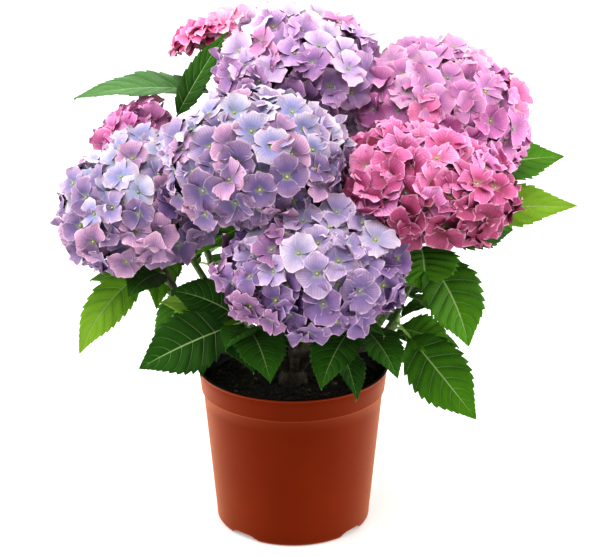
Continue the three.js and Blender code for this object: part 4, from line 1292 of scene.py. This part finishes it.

# %% [markdown]
# A sepal fades from a deep eye to a pale margin, with faint veins that fan out from the eye. The tints of
# each kind of head run from deep to pale, as shaded and lit copies: the deep ones are painted shade and the
# pale ones painted light. The last is an odd one that turns up here and there, as it does on a plant whose
# soil is neither sour nor sweet. Each tint is a finish of its own.

# %% Tints of the sepals
SEPAL_TINTS = {
    "blue": (
        ((84, 64, 118), (134, 101, 156)), ((98, 82, 132), (150, 120, 152)),
        ((114, 102, 152), (174, 150, 174)), ((128, 130, 178), (192, 175, 190)),
        ((152, 158, 195), (210, 197, 206)), ((128, 98, 144), (200, 156, 182)),
    ),
    "lilac": (
        ((96, 55, 110), (151, 89, 151)), ((124, 89, 142), (180, 135, 177)),
        ((147, 117, 170), (206, 166, 203)), ((170, 146, 190), (223, 195, 214)),
        ((190, 172, 208), (232, 212, 226)), ((165, 105, 156), (216, 156, 188)),
    ),
    "mauve": (
        ((134, 57, 128), (201, 98, 169)), ((160, 88, 149), (211, 130, 182)),
        ((165, 98, 156), (210, 137, 182)), ((175, 114, 170), (214, 155, 191)),
        ((189, 134, 183), (219, 177, 201)), ((194, 98, 150), (232, 141, 178)),
    ),
    "pink": (
        ((96, 14, 42), (150, 44, 86)), ((112, 20, 54), (174, 74, 120)),
        ((136, 32, 76), (196, 98, 150)), ((164, 52, 104), (218, 128, 178)),
        ((188, 86, 136), (232, 156, 196)), ((166, 78, 136), (219, 148, 194)),
    ),
    "violet": (
        ((78, 50, 110), (122, 84, 142)), ((96, 72, 126), (144, 112, 154)),
        ((110, 90, 142), (163, 137, 170)), ((130, 116, 162), (184, 161, 186)),
        ((154, 145, 182), (203, 186, 201)), ((112, 76, 124), (164, 118, 156)),
    ),
    "coral": (
        ((150, 34, 82), (204, 76, 130)), ((186, 60, 112), (230, 114, 168)),
        ((204, 80, 130), (240, 136, 182)), ((218, 104, 150), (245, 162, 198)),
        ((228, 130, 166), (249, 190, 214)), ((176, 168, 70), (222, 176, 126)),
    ),
    "magenta": (
        ((107, 29, 84), (168, 64, 134)), ((147, 59, 120), (204, 106, 167)),
        ((159, 76, 135), (211, 124, 178)), ((170, 96, 149), (215, 146, 190)),
        ((182, 117, 166), (220, 166, 199)), ((188, 89, 148), (233, 142, 186)),
    ),
}
print("families of tints:", len(SEPAL_TINTS))

# %% Sepal finishes
SEPAL_CELLS, ODD_TINT, PALEST_TINT = 6, 5, 4
FAN_VEINS, RIM_PALE_AND_HIGHLIGHT = 5, (1.0, 0.86, 0.93, 1.0)


def paint_sepal(wire, cell, eye, margin):
    along, across = cell_chart(wire, cell, SEPAL_CELLS)
    reach = abs(across)
    spot = along.node("ShaderNodeCombineXYZ", None, {"X": along * 2.2, "Y": across * 1.6, "Z": float(cell)})
    clouds = grain(wire, spot, 1.5, 3)
    tone = blend(rise(along + 0.2 * reach * reach + 0.5 * clouds, 0.35, 1.25), eye, margin)
    fan = abs((across * FAN_VEINS + clouds * 0.7) % 1 - 0.5)
    vein = (1 - rise(fan, 0.03, 0.16)) * (1 - rise(along, 0.65, 1.05))
    tone = blend(vein * 0.6, tone, eye)
    # A pale line along the sepal's edge: partly its own paler margin, partly a painted highlight on the
    # edge.
    rim = rise(reach.larger(along), 0.86, 1.0)
    tone = blend(rim * 0.3, tone, RIM_PALE_AND_HIGHLIGHT)
    throat = 1 - rise(along, 0.08, 0.26)
    tone = blend(throat * 0.45, tone, colour(170, 180, 120))
    return {"Base Color": tone, "Normal": bump(clouds * 0.5 - vein * 0.6, 0.35, 0.0004)}


def sepal_finish(name, cell, eye, margin):
    return finish_of(name, paint_sepal, (cell, colour(*eye), colour(*margin)), Roughness=0.6)


sepal_looks = {
    family: [sepal_finish(f"sepals_{family}_{cell + 1}", cell, *tint) for cell, tint in enumerate(tints)]
    for family, tints in SEPAL_TINTS.items()
}
print("sepal finishes:", sum(map(len, sepal_looks.values())))

# %% [markdown]
# Florets crowd evenly over a dome, which the golden angle gives at once: each next direction is turned by
# it and lies a little lower. An outer layer shows and a deep inner one closes the gaps, in deep tints as
# painted shade. Florets that face up get pale tints as painted light and the low ones deep tints as painted
# shade, each leans its own way, and in front they all turn a little to the light. Where two heads meet, one
# of them yields, so the florets don't run through it.

# %% A floret's direction and tint
GOLDEN_TURN = math.pi * (3 - math.sqrt(5))
ODD_SHARE, ODD_SHARE_OF = 0.09, {"front_blue": 0.18, "left_blue": 0.2, "right_pink": 0.12, "back_coral": 0}
SHADED_ODD, GREENISH_ODD = 0.5, 0.25
# A floret's tint starts at SHADE_TONE and rises by TONE_RISE as it faces up: painted light on top and
# painted shade low down, with a spread at random.
SHADE_TONE, TONE_RISE, TONE_SPREAD = 0.6, 3.3, 1.3
MAUVE_HEADS = ("right_lilac", "rear_pink")


def family_of(name):
    """A head's colours are those of the last word of its name, but for two that are mauve."""
    return "mauve" if name in MAUVE_HEADS else name.split("_")[-1]


def dome_directions(count, lowest_angle, chance):
    """Directions spread evenly from the top of a dome to under its rim, by the golden angle."""
    lowest = math.cos(math.radians(lowest_angle))
    for number in range(count):
        height = 1 - (1 - lowest) * (number + 0.5) / count
        turn = number * GOLDEN_TURN + chance(-0.12, 0.12)
        level = math.sqrt(1 - height * height)
        yield vec(level * math.cos(turn), level * math.sin(turn), height)


def tint_for(name, direction, outer, chance):
    """Painted shade low in the dome and painted light on top, as deep and pale tints, and the odd one here
    and there.
    """
    # The inner layer shows only in the gaps, so it is painted shade: the darkest tint, and a mid one near
    # the top.
    if not outer:
        return 2 if direction[2] > 0.6 else 0
    facing = HEADS[name].normal(direction)
    odd = ODD_SHARE_OF.get(name, ODD_SHARE)
    if name == "low_violet" and direction[0] < -0.25:
        odd = SHADED_ODD
    if name == "back_coral" and direction[2] < 0.25 and facing[1] < -0.3:
        odd = GREENISH_ODD
    if chance(0, 1) < odd:
        return ODD_TINT
    # Paler as the floret faces up: painted light on top, painted shade low down.
    tone = SHADE_TONE + TONE_RISE * facing[2] + chance(-TONE_SPREAD, TONE_SPREAD)
    return int(np.clip(round(tone), 1, PALEST_TINT))


# %% Deal the florets over the domes
LAYERS = ((True, 98, (0.84, 0.97)), (False, 60, (0.7, 0.86)))  # outer or not, florets, depths in the dome
FEWEST_FLORETS, STRAY_DROP = 30, 9
LOWEST_OF = {"back_coral": 68, "low_violet": 132}
FLORET_SIZES, SIZE_OF, LEAN = (0.92, 1.16), {"right_pink": 1.14}, 0.42
FRONT_BEND, NO_BEND = vec(0, -0.3, 0.1), vec(0, 0, 0)
HANG, TUCK, TUCK_BELOW, HEAD_GAP = 1.15, 0.9, 0.45, 1.03


def deal_florets(name, number):
    """A head's florets, as (shape, turn and size, place, tint)."""
    head, chance = HEADS[name], seeded(7000 + 31 * number)
    share, lowest = (head.wide / FLORET_HEAD) ** 2, LOWEST_OF.get(name, LOWEST_FLORET + STRAY_DROP)
    bend = NO_BEND if name.startswith("rear") else FRONT_BEND
    dealt = []
    for outer, count, depths in LAYERS:
        for direction in dome_directions(max(FEWEST_FLORETS, round(count * share)), lowest, chance):
            depth = chance(*depths)
            if name == "low_violet" and direction[2] < 0.05 and direction[0] < 0.1:
                depth *= HANG
            if not outer and direction[2] < TUCK_BELOW:
                depth *= TUCK
            place = head.place(direction * depth)
            lean = vec(chance(-1, 1), chance(-1, 1), chance(-1, 1)) * LEAN
            spin, size = chance(0, math.pi / 2), chance(*FLORET_SIZES) * SIZE_OF.get(name, 1)
            shape = floret_shapes[int(chance(0, FLORET_SHAPES - 0.01))]
            tint = tint_for(name, direction, outer, chance)
            if any(HEADS[other].reach(place) < HEAD_GAP for other in head.yields):
                continue
            way = unit(head.normal(direction) + lean + bend)
            turn = turned_by(way, head.across + 0.3 * UP, spin, size)
            dealt.append((shape, turn, place, tint))
    return dealt


DEALT = {name: deal_florets(name, number) for number, name in enumerate(HEADS)}
print("florets:", {name: len(dealt) for name, dealt in DEALT.items()})

# %% [markdown]
# In the middle of each floret is a small closed bead, and behind it a thin stalk that runs to the middle of
# the head. Both are hardly seen one by one, so a ball and a four-sided cone are enough. The stalks of the
# whole head meet in one thick stalk that stands on the shoot.

# %% Shapes of the bead and its stalk
EYE_RADIUS, EYE_RISE = 1.45, 0.9


def paint_bead(wire):
    return {"Normal": bump(grain(wire, on_piece(wire), 1500, 2), 0.4, 0.0003)}


def bead_shape():
    bm = bmesh.new()
    bmesh.ops.create_icosphere(bm, subdivisions=1, radius=EYE_RADIUS)
    bmesh.ops.translate(bm, vec=(0, 0, EYE_RISE), verts=bm.verts)
    return Template(bm)


def stalk_shape():
    bm = bmesh.new()
    bmesh.ops.create_cone(bm, cap_ends=False, segments=4, radius1=1, radius2=0.6, depth=1)
    bmesh.ops.translate(bm, vec=(0, 0, 0.5), verts=bm.verts)
    return Template(bm)


# %% Florets, beads and their stalks
BEAD_COLOURS = ((190, 194, 118), (172, 182, 126), (164, 166, 176))
STALK_START, STALK_DEPTH, STALK_WIDTH = 0.4, 6, 0.9


def build_heads():
    beads, stalks, bead, stalk = [], [], bead_shape(), stalk_shape()
    chance = seeded(515)
    for name, head in HEADS.items():
        family = family_of(name)
        copies = [(*floret, floret[-1]) for floret in DEALT[name]]
        mesh = joined_copies(f"florets_{name}", copies, SEPAL_CELLS)
        add_piece(f"florets_{name}", mesh, sepal_looks[family], [f"flower_head_{name}"])
        for _, turn, place, tint in DEALT[name]:
            if tint:
                beads.append((bead, turn, place, 0, int(chance(0, len(BEAD_COLOURS) - 0.01))))
            inner = head.centre + (place - head.centre) * STALK_START - STALK_DEPTH * head.axis
            size = vec(STALK_WIDTH, STALK_WIDTH, np.linalg.norm(place - inner))
            stalks.append((stalk, turned_by(place - inner, vec(1, 0.1, 0.2), 0, 1) * size, inner, 0, 0))
    bead_looks = [
        finish_of(f"floret_bead_{number + 1}", paint_bead, Base_Color=colour(*tone), Roughness=0.4)
        for number, tone in enumerate(BEAD_COLOURS)
    ]
    add_piece("floret_beads", joined_copies("floret_beads", beads), bead_looks)
    add_piece("floret_stalks", joined_copies("floret_stalks", stalks), stem_looks[STALK:])


build_heads()


# %% Stalks of the heads
def build_peduncles():
    bm = bmesh.new()
    for head in HEADS.values():
        roll_tube(bm, straight(head.foot, head.centre), tapering(STALK_RADIUS, STALK_RADIUS * 0.8), 12, 8)
    close_ends(bm)
    piece_from("flower_peduncles", bm, stem_looks[:1])


build_peduncles()

# %% [markdown]
# The floor is plain and pale and runs out of sight. Lamps near the plant leave it dull far off, so it
# has a faint glow of its own, which grows with the distance and never shows as an edge. The light is
# that of a white studio: one large soft lamp high in front and a little to the left, which leaves the
# undersides of the heads dark, weaker lamps at both sides and behind that draw out the edges, and a
# bright room.

# %% Floor
FLOOR_RADIUS, GLOW_START, GLOW_END = 9.0, 1.2, 4.5
FLOOR_GLOW, FAR_GLOW = (0.26, 0.26, 0.26, 1.0), (0.75, 0.75, 0.75, 1.0)


def paint_floor(wire):
    where = on_piece(wire)
    reach = where.node("ShaderNodeVectorMath", {"operation": "LENGTH"}, {0: where}, "Value")
    return {
        "Base Color": blend(grain(wire, where, 2, 2), colour(226, 226, 225), colour(232, 232, 231)),
        "Emission Color": blend(rise(reach, GLOW_START, GLOW_END), FLOOR_GLOW, FAR_GLOW),
    }


def build_floor():
    bm = bmesh.new()
    bmesh.ops.create_circle(bm, cap_ends=True, segments=96, radius=FLOOR_RADIUS)
    mesh = bpy.data.meshes.new("floor")
    bm.to_mesh(mesh)
    bm.free()
    mesh.materials.append(finish_of("studio_floor", paint_floor, Roughness=0.8, Emission_Strength=1.0))
    floor = bpy.data.objects.new("floor", mesh)
    scene.collection.objects.link(floor)


build_floor()
print("the floor reaches, in m:", FLOOR_RADIUS)

# %% Lamps and room
LIT_PLACE = Vector((0, 0, 0.3))
LAMPS = {
    "key_lamp": ((-0.35, -0.8, 2.6), 2.4, 60),
    "right_lamp": ((1.9, 0.0, 0.8), 1.4, 26),
    "left_lamp": ((-1.9, 0.1, 0.7), 1.4, 26),
    "rear_lamp": ((0.3, 2.0, 1.5), 1.6, 24),
}


def soft_lamp(name, place, size, power):
    lamp = bpy.data.objects.new(name, bpy.data.lights.new(name, "AREA"))
    lamp.data.shape, lamp.data.size, lamp.data.energy = "DISK", size, power
    lamp.location = place
    lamp.rotation_euler = (Vector(place) - LIT_PLACE).to_track_quat("Z", "Y").to_euler()
    scene.collection.objects.link(lamp)


for name, (place, size, power) in LAMPS.items():
    soft_lamp(name, place, size, power)
world = scene.world or bpy.data.worlds.new("studio")
scene.world = world
world.use_nodes = True
world.node_tree.nodes["Background"].inputs["Color"].default_value = (1, 1, 1, 1)
world.node_tree.nodes["Background"].inputs["Strength"].default_value = 0.6
scene.view_settings.view_transform = "Standard"
scene.view_settings.exposure, scene.view_settings.gamma = 0.2, 0.82
print("lamps:", len(LAMPS))
